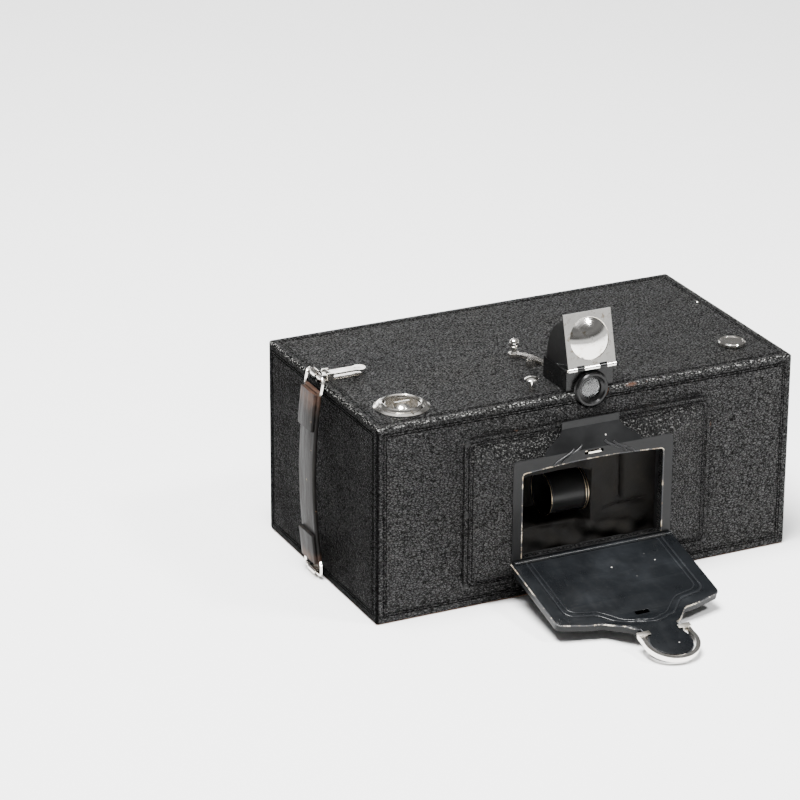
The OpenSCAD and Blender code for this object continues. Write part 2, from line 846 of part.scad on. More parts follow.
// Inner liner: closes the shell, and carries the hinge knuckles and the catch slot.
module door_liner() {
    color(BLACK)
        hung()
            difference() {
                union() {
                    door_sheet(0, -sheet_t, 0);
                    for (span = [[-door_half_w + 1, -47.3], [-28.7, 28.7], [47.3, door_half_w - 1]]) {
                        rod([span[0], 0, 0], hinge_r, span[1] - span[0], [1, 0, 0]);
                        box_between([span[0], -3, -sheet_t], [span[1], 0, 0]);
                    }
                }
                rod([-door_half_w, 0, 0], pin_r, 2 * door_half_w, [1, 0, 0]);
                box_between([-slot_half_w, hinge_z - catch_z - 2, -2], [slot_half_w, hinge_z - catch_z + 2, 2]);
            }
}

module pull_lugs() {
    color(NICKEL)
        hung()
            for (x = [-neck_half_s - lug_w, neck_half_s])
                difference() {
                    box_between([x, -lug_s - 2, lug_n - 1.7], [x + lug_w, -lug_s + 2, lug_n + 1.7]);
                    rod([x - 1, -lug_s, lug_n], pin_r, lug_w + 2, [1, 0, 0]);
                }
}

// A polished horseshoe band on two pins, to pull the door open with.
module pull_loop() {
    arm_x = neck_half_s + lug_w + 0.3;
    color(NICKEL)
        hung()
            translate([0, 0, lug_n]) {
                translate([0, -tongue_s, -loop_t / 2])
                    linear_extrude(loop_t)
                        polygon(concat(
                            arc(0, 0, loop_out_r, 18, -198, 40),
                            arc(0, 0, loop_in_r, -198, 18, 40)));
                for (side = [-1, 1])
                    mirror([side < 0 ? 1 : 0, 0, 0]) {
                        box_between([arm_x, -lug_s - 5.5, -loop_t / 2], [loop_out_r - 0.3, -lug_s, loop_t / 2]);
                        rod([arm_x, -lug_s, 0], loop_t / 2, loop_out_r - 0.3 - arm_x, [1, 0, 0]);
                        rod([neck_half_s + 0.4, -lug_s, 0], pin_r - running, 4, [1, 0, 0]);
                    }
            }
}

// ---- Swinging lens ----

// The lens points along -X at rest; lens parts are turned bodies about that axis.
module on_lens_axis() {
    translate([0, pivot_y, lens_z])
        rotate([0, 90, 0])
            children();
}

module lens_barrel() {
    color(BLACK)
        on_lens_axis()
            rotate_extrude($fn = fine)
                polygon([[barrel_r - 0.9, -barrel_front], [barrel_r + 0.5, -barrel_front],
                    [barrel_r + 0.5, -barrel_front + 0.8], [barrel_r, -barrel_front + 1.2],
                    [barrel_r, cell_x - 1.4], [barrel_r - 0.9, cell_x - 1.4]]);
}

module lens_cell() {
    color(BLACK)
        on_lens_axis()
            rotate_extrude($fn = fine)
                polygon([[9.6, -6.5], [barrel_r - 0.9, -6.5], [barrel_r - 0.9, cell_x - 1.4],
                    [barrel_r + 0.6, cell_x - 1.4], [barrel_r + 0.6, cell_x - 0.4], [barrel_r, cell_x],
                    [barrel_r, carrier_x], [9.6, carrier_x]]);
}

module lens_disc(x, sag) {
    color(GLASS)
        on_lens_axis()
            translate([0, 0, x])
                rotate_extrude($fn = fine)
                    polygon(concat([[0, 0], [9.6, 0], [9.6, 0.8]],
                        [for (i = [1 : 8]) [9.6 * (1 - i / 8), 0.8 + sag * sin(90 * i / 8)]]));
}

module aperture_stop() {
    color(BLACK)
        on_lens_axis()
            rotate_extrude($fn = fine)
                polygon([[2.2, -0.3], [9.6, -0.3], [9.6, 0.3], [2.2, 0.3]]);
}

// Yoke that holds the cell and carries the two pivot posts, the crank and its spring pin.
module lens_carrier() {
    x1 = carrier_x + carrier_t;
    color(BRASS)
        translate([0, pivot_y, 0])
            difference() {
                union() {
                    box_between([carrier_x, -10.5, lens_z - arm_in_z], [x1, 10.5, lens_z + arm_in_z]);
                    for (z = [lens_z - arm_in_z, lens_z + arm_in_z - arm_t])
                        translate([0, 0, z])
                            linear_extrude(arm_t)
                                polygon(concat(arc(0, 0, 4, 90, 270, 12), [[x1, -4], [x1, 4]]));
                    rod([0, 0, lens_z + arm_in_z], post_r, plate_top - play - lens_z - arm_in_z);
                    rod([0, 0, 5.4], post_r, lens_z - arm_in_z - 5.4);
                    rod([0, 0, crank_z], 9, crank_t);
                    box_between([0, -2.2, crank_z], [crank_len, 2.2, crank_z + crank_t]);
                    rod([crank_len, 0, crank_z], 2.2, crank_t);
                    rod([crank_len, 0, crank_z - 4.2], 0.8, 4.4);
                }
                rod([carrier_x - 1, 0, lens_z], 8.6, 10, [1, 0, 0]);
            }
}

// Flattened horn that leads the light to a tall slit close to the film.
module exposure_funnel() {
    x0 = carrier_x + carrier_t;
    color(BLACK)
        translate([0, pivot_y, lens_z])
            difference() {
                hull() {
                    rod([x0, 0, 0], funnel_neck_r, 1, [1, 0, 0]);
                    box_between([funnel_reach - 1, -3.5, -funnel_half_h], [funnel_reach, 3.5, funnel_half_h]);
                }
                hull() {
                    rod([x0 - tiny, 0, 0], funnel_neck_r - 0.9, 1, [1, 0, 0]);
                    box_between([funnel_reach, -2.7, -funnel_half_h + 0.9],
                        [funnel_reach + 0.1, 2.7, funnel_half_h - 0.9]);
                }
            }
}

// ---- Tension lever ----

module tension_lever() {
    steps = 16;
    bow = 1.3;
    color(NICKEL)
        translate([0, lever_y, 0]) {
            rod([0, 0, crank_z], key_r, lever_z + 1 - crank_z);
            rotate([0, 0, lever_angle]) {
                translate([0, 0, lever_z])
                    linear_extrude(lever_t)
                        polygon(concat(
                            [for (i = [0 : steps]) let (t = i / steps)
                                [lever_len * t, -2.6 + 0.8 * t + bow * sin(360 * t)]],
                            [for (i = [steps : -1 : 0]) let (t = i / steps)
                                [lever_len * t, 2.6 - 0.8 * t + bow * sin(360 * t)]]));
                rod([0, 0, lever_z], 4.6, lever_t + 0.6);
                rod([lever_len, 0, lever_z], 3.4, lever_t);
                box_between([0, -1.6, crank_z], [10, 1.6, crank_z + 1.6]);
                rod([10, 0, crank_z - 4.2], 0.8, 4.4);
            }
        }
}

module lever_knob() {
    color(NICKEL)
        translate([lever_len * cos(lever_angle), lever_y + lever_len * sin(lever_angle), lever_z + lever_t])
            rotate_extrude($fn = 32)
                polygon(concat([[0, 0], [2.2, 0], [1.5, 1], [1.4, 3]],
                    arc(0, 6, 3, -62, 90, 12)));
}

module lever_stops() {
    color(NICKEL)
        for (side = [-1, 1])
            translate([side * 12.9, lever_y + 10.1, body_h]) {
                linear_extrude(4)
                    polygon([for (i = [0 : 31]) let (r = i % 2 == 0 ? 3 : 2.7)
                        [r * cos(11.25 * i), r * sin(11.25 * i)]]);
                rod([0, 0, 4], 2.2, 0.8);
            }
}

// ---- Shutter release ----

module release_button() {
    color(NICKEL)
        translate([button_x, button_y, 0]) {
            rod([0, 0, 96.4], 1.4, button_z - 96.4);
            rod([0, 0, 107.4], 2.8, 1);
            translate([0, 0, button_z])
                rotate_extrude($fn = fine)
                    polygon(concat([[0, 0], [1.6, 0], [3.9, 1.1], [4, 1.5]], arc(0, -4.2, 6.9, 54.6, 90, 8)));
        }
}

module release_latch() {
    color(BRASS)
        difference() {
            union() {
                box_between([button_x - 2.5, button_y - 1, latch_z - 0.6], [-9.9, button_y + 1, latch_z + 0.6]);
                rod([latch_x, button_y - 2.8, latch_z], 1.8, 5.6, [0, 1, 0]);
            }
            rod([latch_x, button_y - 5, latch_z], 0.9 + running, 10, [0, 1, 0]);
        }
}

// ---- Strap ----

module strap() {
    steps = 16;
    inner = [for (i = [0 : steps]) let (t = i / steps)
        [-half_w - 1.2 - (strap_gap - 1.2) * sin(180 * t), strap_low_z + (strap_high_z - strap_low_z) * t]];
    outer = [for (i = [steps : -1 : 0]) [inner[i][0] - strap_t, inner[i][1]]];
    color([0.2, 0.12, 0.08])
        upright(strap_y - strap_w / 2, strap_y + strap_w / 2)
            polygon(concat(inner, outer));
}

// A rectangular wire loop with round corners, between two cross bars along Y.
module wire_loop(low, high) {
    corner = 3;
    u = [0, 1, 0];
    v = unit(high - low);
    half_v = norm(high - low) / 2;
    points = [for (q = [0 : 3]) for (i = [0 : 4])
        let (a = 90 * q + 22.5 * i,
            cu = (q == 0 || q == 3 ? 1 : -1) * (ring_half_y - corner),
            cv = (q < 2 ? 1 : -1) * (half_v - corner))
        (low + high) / 2 + (cu + corner * cos(a)) * u + (cv + corner * sin(a)) * v];
    wire(concat(points, [points[0]]), ring_wire_r, 8);
}

module strap_rings() {
    color(NICKEL) {
        wire_loop([strap_mid_x, strap_y, strap_high_z - 1.8], top_bar);
        wire_loop(low_bar, [strap_mid_x, strap_y, strap_low_z + 1.8]);
    }
}

// A plate on the end board with an eye round the lower ring.
module strap_hook() {
    color(NICKEL)
        upright(strap_y - 5, strap_y + 5)
            difference() {
                union() {
                    translate([low_bar[0], low_bar[2]])
                        circle(r = ring_wire_r + 0.9, $fn = 32);
                    translate([low_bar[0], low_bar[2]])
                        square([-half_w - low_bar[0], 1.9]);
                    translate([-half_w - 0.7, 0.3])
                        square([0.7, 8]);
                }
                translate([low_bar[0], low_bar[2]])
                    circle(r = ring_wire_r + 0.2, $fn = 32);
            }
}

// A plate on the top with two ears and the pin that the clip lever rocks on.
module clip_base() {
    color(NICKEL) {
        box_between([-half_w + 1, strap_y - 4.4, body_h], [clip_end_x - 3, strap_y + 4.4, body_h + 0.8]);
        for (side = [-1, 1])
            box_between([clip_pin_x - 2, strap_y + side * 3.9 - 0.5, body_h],
                [clip_pin_x + 2, strap_y + side * 3.9 + 0.5, clip_pin_z + 1.4]);
        rod([clip_pin_x, strap_y - 4.6, clip_pin_z], pin_r - running, 9.2, [0, 1, 0]);
    }
}

// The lever's hook closes over the top ring; pressing its tab lifts the hook.
module clip_lever() {
    color(NICKEL)
        difference() {
            union() {
                upright(strap_y - clip_half_w, strap_y + clip_half_w) {
                    translate([top_bar[0], top_bar[2]])
                        difference() {
                            circle(r = ring_wire_r + 1.4, $fn = 48);
                            circle(r = ring_wire_r + 0.4, $fn = 48);
                            translate([-10, -10])
                                square([20, 9.4]);
                        }
                    translate([top_bar[0] + ring_wire_r + 0.4, clip_pin_z - 0.5])
                        square([1, 1.4]);
                    translate([top_bar[0] + ring_wire_r + 0.4, clip_pin_z - 0.5])
                        square([clip_end_x - 4 - top_bar[0] - ring_wire_r - 0.4, 1]);
                    translate([clip_pin_x, clip_pin_z])
                        circle(r = 1.5, $fn = 32);
                }
                translate([clip_end_x - 4, strap_y, clip_pin_z - 0.5])
                    cylinder(r = 4, h = 1, $fn = fine);
            }
            rod([clip_pin_x, strap_y - 5, clip_pin_z], pin_r, 10, [0, 1, 0]);
            for (x = [-6.4, -4])
                rod([clip_end_x + x, strap_y, clip_pin_z - 1], 0.6, 2);
        }
}

top_board();
front_board();
back_board();
end_board(-1);  // left_end_board
end_board(1);  // right_end_board
leather_covering();
front_panel();
door_frame();
door_hinge_pin();
door_catch();
panel_screws();
mechanism_plate();
film_track();
spool_brackets();
lower_pivot_bracket();
lens_apron();
swing_buffers();
latch_bracket();
drive_spring();
button_spring();
finder_housing();
finder_bezel();
finder_front_lens();
finder_mirror();
finder_top_lens();
finder_hinge_pin();
winder_escutcheon();
lever_stops();
strap();
strap_rings();
strap_hook();
clip_base();
red_window();
window_ring();
lid_hinge();
lid_catch_spring();
top_pin();
finder_lid();
finder_wings();
front_door();
door_liner();
pull_lugs();
pull_loop();
lens_barrel();
lens_cell();
lens_disc(-6.2, 1.6);  // front_lens
lens_disc(3.6, 1.6);  // rear_lens
aperture_stop();
lens_carrier();
exposure_funnel();
tension_lever();
lever_knob();
release_button();
release_latch();
winding_key();
spool(winder_x, winder_y);  // take_up_spool
spool(supply_x, supply_y);  // supply_spool
supply_knob();
clip_lever();
loading_lid();
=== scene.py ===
"""Looks for the panoramic box camera: leather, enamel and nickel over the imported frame."""
import json
import math

import bmesh
import bpy
from mathutils import Matrix, Vector


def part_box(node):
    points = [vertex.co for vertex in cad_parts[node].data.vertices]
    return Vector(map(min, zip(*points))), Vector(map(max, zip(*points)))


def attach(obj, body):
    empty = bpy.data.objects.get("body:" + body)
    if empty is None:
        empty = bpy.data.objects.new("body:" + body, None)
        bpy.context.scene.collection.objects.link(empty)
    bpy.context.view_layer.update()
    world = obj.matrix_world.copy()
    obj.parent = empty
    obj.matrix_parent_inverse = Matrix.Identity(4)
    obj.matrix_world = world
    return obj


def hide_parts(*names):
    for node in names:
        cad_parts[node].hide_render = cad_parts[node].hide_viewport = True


MM = 0.001
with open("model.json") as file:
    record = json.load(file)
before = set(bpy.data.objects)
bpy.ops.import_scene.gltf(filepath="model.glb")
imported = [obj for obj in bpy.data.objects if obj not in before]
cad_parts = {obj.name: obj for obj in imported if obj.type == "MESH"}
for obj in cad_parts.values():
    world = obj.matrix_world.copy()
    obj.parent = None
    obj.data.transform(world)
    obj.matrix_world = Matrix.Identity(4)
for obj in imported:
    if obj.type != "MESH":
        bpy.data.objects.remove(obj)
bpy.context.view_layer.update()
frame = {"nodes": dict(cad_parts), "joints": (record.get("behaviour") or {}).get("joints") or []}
nodes = frame["nodes"]
joints = {j["name"]: j for j in frame["joints"]}


# ---- Camera, floor and lights ----

CAMERA_PLACE = (-0.9440, -1.7890, 0.9191)
CAMERA_RIGHT = (0.90195, -0.43181, 0.00442)
CAMERA_UP = (0.16076, 0.34525, 0.92464)
CAMERA_BACK = (-0.40079, -0.83327, 0.38082)
SENSOR_MM, LENS_MM = 36.0, 167.7
LIGHT_AIM = (0.0, 0.0, 0.06)
# The world's grey tone by height: floor glow, dark walls, bright ceiling.
SKY_TONES = [(0.0, 1.0), (0.1, 0.95), (0.19, 0.1), (0.42, 0.22), (0.72, 0.1), (0.93, 1.0)]
FLOOR_SIZE = 6.0


def linked(name, data):
    """A new object with this data, placed in the scene."""
    made = bpy.data.objects.new(name, data)
    bpy.context.scene.collection.objects.link(made)
    return made


def make_camera():
    """The photograph's viewpoint, solved from the box's edges."""
    data = bpy.data.cameras.new("camera")
    data.sensor_width = SENSOR_MM
    data.lens = LENS_MM
    camera = linked("camera", data)
    turn = Matrix((CAMERA_RIGHT, CAMERA_UP, CAMERA_BACK)).transposed().to_4x4()
    camera.matrix_world = Matrix.Translation(CAMERA_PLACE) @ turn
    bpy.context.scene.camera = camera


def make_light(name, place, size, power):
    """A rectangular lamp that points at the box's middle."""
    data = bpy.data.lights.new(name, "AREA")
    data.shape = "RECTANGLE"
    data.size, data.size_y = size
    data.energy = power
    light = linked(name, data)
    light.location = place
    light.rotation_euler = (Vector(LIGHT_AIM) - Vector(place)).to_track_quat("-Z", "Y").to_euler()


def make_studio():
    """A bright ceiling with dark walls, three lamps and a white floor."""
    world = bpy.data.worlds.new("studio")
    world.use_nodes = True
    tree = world.node_tree
    place = tree.nodes.new("ShaderNodeTexCoord")
    split = tree.nodes.new("ShaderNodeSeparateXYZ")
    sky = tree.nodes.new("ShaderNodeValToRGB")
    tree.links.new(place.outputs["Generated"], split.inputs[0])
    tree.links.new(split.outputs["Z"], sky.inputs[0])
    fill_ramp(sky, SKY_TONES)
    tree.links.new(sky.outputs["Color"], tree.nodes["Background"].inputs["Color"])
    tree.nodes["Background"].inputs["Strength"].default_value = 1.0
    bpy.context.scene.world = world
    make_light("overhead", (-0.45, -0.2, 1.95), (0.9, 0.8), 190.0)
    make_light("front_key", (0.72, -0.81, 1.45), (0.3, 0.3), 26.0)
    make_light("back_strip", (0.1, 1.75, 0.72), (1.5, 0.35), 8.0)

    floor = mesh_object("floor", *grid_sheet(FLOOR_SIZE, FLOOR_SIZE, 8, 8))
    floor.data.materials.append(floor_material())


# ---- Mesh helpers ----

def mesh_object(name, points, faces):
    """A new object from points and faces."""
    mesh = bpy.data.meshes.new(name)
    mesh.from_pydata([tuple(p) for p in points], [], faces)
    mesh.validate()
    return linked(name, mesh)


def from_bmesh(name, bm):
    """A new object that holds the edited mesh."""
    mesh = bpy.data.meshes.new(name)
    bm.to_mesh(mesh)
    bm.free()
    return linked(name, mesh)


def grid_sheet(width, depth, across, along):
    """Points and faces of a level sheet centred on the origin."""
    points = []
    for j in range(along + 1):
        y = (j / along - 0.5) * depth
        for i in range(across + 1):
            x = (i / across - 0.5) * width
            points.append((x, y, 0.0))
    row = across + 1
    faces = [(j * row + i, j * row + i + 1, (j + 1) * row + i + 1, (j + 1) * row + i)
             for j in range(along) for i in range(across)]
    return points, faces


def smooth(piece, angle=32.0):
    """Shades a mesh smooth, apart from edges sharper than the angle."""
    bm = bmesh.new()
    bm.from_mesh(piece.data)
    bmesh.ops.recalc_face_normals(bm, faces=bm.faces)
    limit = math.radians(angle)
    for face in bm.faces:
        face.smooth = True
    for edge in bm.edges:
        edge.smooth = len(edge.link_faces) == 2 and edge.calc_face_angle(0.0) < limit
    bm.to_mesh(piece.data)
    bm.free()
    return piece


def loft(name, rings, capped):
    """A skin through closed rings of equally many points; capped closes both ends."""
    count = len(rings[0])
    points = [p for ring in rings for p in ring]
    faces = [(j * count + i, j * count + (i + 1) % count,
              (j + 1) * count + (i + 1) % count, (j + 1) * count + i)
             for j in range(len(rings) - 1) for i in range(count)]
    if capped:
        faces.append(tuple(range(count - 1, -1, -1)))
        faces.append(tuple((len(rings) - 1) * count + i for i in range(count)))
    return mesh_object(name, points, faces)


def full_turn(steps):
    """Angles round a circle, in radians."""
    return [2 * math.pi * k / steps for k in range(steps)]


def arc(cx, cy, r, start, end, steps):
    """Points on an arc, angles in degrees."""
    return [(cx + r * math.cos(math.radians(start + (end - start) * i / steps)),
             cy + r * math.sin(math.radians(start + (end - start) * i / steps)))
            for i in range(steps + 1)]


def rounded_rect(x0, y0, x1, y1, r, steps):
    return (arc(x1 - r, y1 - r, r, 0, 90, steps) + arc(x0 + r, y1 - r, r, 90, 180, steps)
            + arc(x0 + r, y0 + r, r, 180, 270, steps) + arc(x1 - r, y0 + r, r, 270, 360, steps))


def ease(t):
    """A smooth step from 0 to 1."""
    t = min(1.0, max(0.0, t))
    return t * t * (3 - 2 * t)


def blend_between(a, b, t):
    """From a to b in a smooth step."""
    return a + (b - a) * ease(t)


def plate(name, outline, holes, thickness, bevel, cuts, shape):
    """A flat plate with rounded edges, cut along y = cuts, then bent by shape(x, y, z)."""
    curve = bpy.data.curves.new(name, "CURVE")
    curve.dimensions = "2D"
    curve.fill_mode = "BOTH"
    curve.extrude = thickness / 2 - bevel
    curve.bevel_depth = bevel
    curve.bevel_resolution = 2
    curve.offset = -bevel
    for loop in [outline] + list(holes):
        spline = curve.splines.new("POLY")
        spline.points.add(len(loop) - 1)
        for point, (x, y) in zip(spline.points, loop):
            point.co = (x, y, 0.0, 1.0)
        spline.use_cyclic_u = True
    holder = linked(name + "_curve", curve)
    mesh = evaluated_mesh(holder)
    bpy.data.objects.remove(holder)
    bm = bmesh.new()
    bm.from_mesh(mesh)
    bmesh.ops.remove_doubles(bm, verts=bm.verts, dist=1e-6)
    for value in cuts:
        everything = bm.verts[:] + bm.edges[:] + bm.faces[:]
        bmesh.ops.bisect_plane(bm, geom=everything, plane_co=(0, value, 0), plane_no=(0, 1, 0))
    for vert in bm.verts:
        vert.co = shape(*vert.co)
    return from_bmesh(name, bm)


def tube(name, path, radius, sides, closed=False):
    """A round wire along a path."""
    path = [Vector(p) for p in path]
    count = len(path)
    rings = []
    side = None
    for i, here in enumerate(path):
        before = path[i - 1] if closed or i else here
        after = path[(i + 1) % count] if closed or i < count - 1 else here
        run = (after - before).normalized()
        if side is None:
            guess = Vector((0, 0, 1)) if abs(run.z) < 0.9 else Vector((1, 0, 0))
            side = run.cross(guess).normalized()
        side = (side - run * side.dot(run)).normalized()
        over = run.cross(side)
        rings.append([here + radius * math.cos(a) * side + radius * math.sin(a) * over
                      for a in full_turn(sides)])
    if closed:
        rings.append(rings[0])
    piece = loft(name, rings, not closed)
    weld(piece)
    return smooth(piece, 50)


def weld(piece, distance=1e-6):
    """Merges points that lie together, and turns the faces outwards."""
    bm = bmesh.new()
    bm.from_mesh(piece.data)
    bmesh.ops.remove_doubles(bm, verts=bm.verts, dist=distance)
    bmesh.ops.recalc_face_normals(bm, faces=bm.faces)
    bm.to_mesh(piece.data)
    bm.free()


def join(name, pieces):
    """One object from several meshes."""
    bm = bmesh.new()
    for piece in pieces:
        bm.from_mesh(piece.data)
        bpy.data.objects.remove(piece)
    return from_bmesh(name, bm)


def box_piece(name, low, high, bevel=0.0):
    """A box, with its edges rounded by the bevel's width."""
    bm = bmesh.new()
    bmesh.ops.create_cube(bm, size=1.0)
    low, high = Vector(low), Vector(high)
    for vert in bm.verts:
        vert.co = [(low[k] + high[k]) / 2 + vert.co[k] * (high[k] - low[k]) for k in range(3)]
    if bevel:
        bmesh.ops.bevel(bm, geom=bm.edges[:], offset=bevel, segments=2, profile=0.6, affect="EDGES")
    return from_bmesh(name, bm)


def rod_piece(name, place, radius, length, axis, sides=64):
    """A cylinder centred on a place, along an axis."""
    bm = bmesh.new()
    bmesh.ops.create_cone(bm, cap_ends=True, segments=sides, radius1=radius, radius2=radius,
                          depth=length)
    turn = Vector(axis).to_track_quat("Z", "Y").to_matrix().to_4x4()
    return transformed(from_bmesh(name, bm), Matrix.Translation(place) @ turn)


def transformed(piece, matrix):
    """The piece with its mesh moved by the matrix."""
    piece.data.transform(matrix)
    return piece


def evaluated_mesh(piece):
    """The piece's mesh with its modifiers, or its curve as a mesh."""
    bpy.context.view_layer.update()
    graph = bpy.context.evaluated_depsgraph_get()
    return bpy.data.meshes.new_from_object(piece.evaluated_get(graph))


def apply_modifiers(piece):
    mesh = evaluated_mesh(piece)
    piece.modifiers.clear()
    piece.data = mesh


def carve(piece, cutters):
    """Cuts every cutter out of the piece, and removes the cutters."""
    for cutter in cutters:
        cut = piece.modifiers.new("cut", "BOOLEAN")
        cut.operation = "DIFFERENCE"
        cut.solver = "EXACT"
        cut.object = cutter
    apply_modifiers(piece)
    for cutter in cutters:
        bpy.data.objects.remove(cutter)
    return piece


def dress(piece, body, slot, material, *replaced):
    """Gives a piece its body, its finish and the CAD nodes it stands for."""
    piece.data.materials.clear()
    piece.data.materials.append(material)
    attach(piece, body)
    if replaced:
        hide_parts(*replaced)
    return piece


# ---- Shader helper ----

def fill_ramp(node, stops):
    """Sets a colour ramp's stops, each a position with a grey or a colour."""
    elements = node.color_ramp.elements
    while len(elements) < len(stops):
        elements.new(0.5)
    for element, (place, tone) in zip(elements, stops):
        element.position = place
        element.color = (*tone, 1.0) if isinstance(tone, tuple) else (tone, tone, tone, 1.0)
    return node


class Shader:
    """Short calls for building one procedural material."""

    def __init__(self, name):
        self.material = bpy.data.materials.new(name)
        self.material.use_nodes = True
        self.tree = self.material.node_tree
        self.surface = self.tree.nodes["Principled BSDF"]
        self.place = self.tree.nodes.new("ShaderNodeTexCoord").outputs["Object"]

    def node(self, kind, inputs=None, **settings):
        made = self.tree.nodes.new(kind)
        for key, value in settings.items():
            setattr(made, key, value)
        for key, value in (inputs or {}).items():
            self.put(made.inputs[key], value)
        return made

    def put(self, socket, value):
        if isinstance(value, bpy.types.NodeSocket):
            self.tree.links.new(value, socket)
        else:
            socket.default_value = value

    def set(self, **values):
        for key, value in values.items():
            self.put(self.surface.inputs[key.replace("_", " ")], value)

    def math(self, operation, a, b=0.0):
        made = self.node("ShaderNodeMath", operation=operation)
        self.put(made.inputs[0], a)
        self.put(made.inputs[1], b)
        return made.outputs[0]

    def scaled(self, a, b):
        return self.math("MULTIPLY", a, b)

    def split(self):
        """The place's X, Y and Z."""
        return tuple(self.node("ShaderNodeSeparateXYZ", {0: self.place}).outputs)

    def stretch(self, scale, vector=None):
        made = self.node("ShaderNodeVectorMath", operation="MULTIPLY")
        self.put(made.inputs[0], vector or self.place)
        made.inputs[1].default_value = scale
        return made.outputs[0]

    def noise(self, scale, detail=3.0, rough=0.55, vector=None):
        made = self.node("ShaderNodeTexNoise", {
            "Vector": vector or self.place, "Scale": scale, "Detail": detail, "Roughness": rough})
        return made.outputs["Fac"]

    def warp(self, scale, amount):
        """The place moved about by noise."""
        cloud = self.node("ShaderNodeTexNoise", {
            "Vector": self.place, "Scale": scale, "Detail": 2.0})
        centred = self.node("ShaderNodeVectorMath", operation="SUBTRACT")
        self.put(centred.inputs[0], cloud.outputs["Color"])
        centred.inputs[1].default_value = (0.5, 0.5, 0.5)
        moved = self.node("ShaderNodeVectorMath", operation="MULTIPLY_ADD")
        self.put(moved.inputs[0], centred.outputs[0])
        moved.inputs[1].default_value = (amount, amount, amount)
        self.put(moved.inputs[2], self.place)
        return moved.outputs[0]

    def cells(self, scale, feature="F1", vector=None):
        made = self.node("ShaderNodeTexVoronoi", feature=feature)
        self.put(made.inputs["Vector"], vector or self.place)
        made.inputs["Scale"].default_value = scale
        return made.outputs["Distance"]

    def ramp(self, value, stops):
        """A colour or grey ramp; stops are (position, grey or colour)."""
        return fill_ramp(self.node("ShaderNodeValToRGB", {0: value}), stops).outputs["Color"]

    def range(self, value, low, high, to_low=0.0, to_high=1.0):
        """A smooth step from to_low to to_high as the value goes from low to high."""
        made = self.node("ShaderNodeMapRange", {
            "Value": value, "From Min": low, "From Max": high, "To Min": to_low, "To Max": to_high},
            interpolation_type="SMOOTHSTEP")
        return made.outputs["Result"]

    def mix(self, amount, a, b):
        made = self.node("ShaderNodeMix", data_type="RGBA")
        self.put(made.inputs["Factor"], amount)
        self.put(made.inputs["A"], (*a, 1.0) if isinstance(a, tuple) else a)
        self.put(made.inputs["B"], (*b, 1.0) if isinstance(b, tuple) else b)
        return made.outputs["Result"]

    def bump(self, *layers):
        """Stacks bumps; each layer is (height, strength, distance in metres)."""
        normal = None
        for height, strength, distance in layers:
            made = self.node("ShaderNodeBump", {
                "Height": height, "Strength": strength, "Distance": distance})
            if normal:
                self.put(made.inputs["Normal"], normal)
            normal = made.outputs["Normal"]
        self.put(self.surface.inputs["Normal"], normal)

    def line(self, distance, at, half):
        """A soft groove where distance is near the given value."""
        off = self.math("ABSOLUTE", self.math("SUBTRACT", distance, at))
        return self.range(off, 0.0, half, 1.0, 0.0)

    def median(self, a, b, c):
        """The middle one of three values."""
        low = self.math("MINIMUM", a, b)
        high = self.math("MAXIMUM", a, b)
        return self.math("MAXIMUM", low, self.math("MINIMUM", high, c))


# ---- Materials ----

# Tooled lines in the body's leather: distances from the nearest edge.
BODY_LINES = (4.6 * MM, 6.1 * MM)
# Painted shade at the bottom of the leather's creases and tooled lines.
PAINTED_CREASE_SHADE = (0.0006, 0.0006, 0.0006)


def floor_material():
    """Almost white paper with a faint cloud and a fine tooth."""
    s = Shader("floor_paper")
    tone = s.noise(3.0, 3.0)
    paper = s.ramp(tone, [(0.3, (0.89, 0.89, 0.89)), (0.7, (0.91, 0.91, 0.905))])
    s.set(Base_Color=paper, Roughness=0.75)
    s.bump((s.noise(900.0, 2.0), 0.05, 0.0003))
    return s.material


def grain(s, size, stretch):
    """Pebbled leather: rounded cells with thin creases of uneven depth, in metres."""
    place = s.stretch(stretch, s.warp(0.75 / size, size * 1.5))
    cell = s.cells(1.0 / size, "SMOOTH_F1", place)
    crease = s.cells(1.0 / size, "DISTANCE_TO_EDGE", place)
    wrinkle = s.noise(0.5 / size, 3.0, 0.6, place)
    pebble = s.math("SUBTRACT", 1.0, cell)
    return pebble, s.range(s.math("ADD", crease, s.scaled(wrinkle, 0.2)), 0.04, 0.4)


def to_nearest(s, value, low, high):
    """Distance from a value to the nearer of two limits."""
    return s.math("MINIMUM", s.math("SUBTRACT", value, low), s.math("SUBTRACT", high, value))


def body_leather(low, high):
    """Coarse black morocco: painted shade on the left end, painted glints on the top edges, brown
    spot right of the finder.
    """
    s = Shader("morocco_leather")
    x, y, z = s.split()
    half_w, half_d = high[0], high[1]
    edge_x = s.math("SUBTRACT", half_w, s.math("ABSOLUTE", x))
    edge_y = s.math("SUBTRACT", half_d, s.math("ABSOLUTE", y))
    edge_z = to_nearest(s, z, low[2], high[2])
    border = s.median(edge_x, edge_y, edge_z)
    # Painted shade: this mask darkens the left end and holds back its reflection.
    left_end = s.range(x, -half_w + 0.0008, -half_w + 0.0024, 1.0, 0.0)
    # Painted glints along the top edges.
    top = s.range(z, high[2] - 0.003, high[2] - 0.0018)
    worn_spot = s.node("ShaderNodeVectorMath", operation="DISTANCE")
    s.put(worn_spot.inputs[0], s.stretch((0.55, 1.0, 1.0)))
    worn_spot.inputs[1].default_value = (0.0148, low[1], high[2])
    spot = s.range(worn_spot.outputs["Value"], 0.0012, 0.0028, 1.0, 0.0)
    lines = [(at, 0.0004) for at in BODY_LINES]
    return leather_layers(s, border, lines, 0.0011, shade=left_end, painted_gleam=top, rubbed=spot)


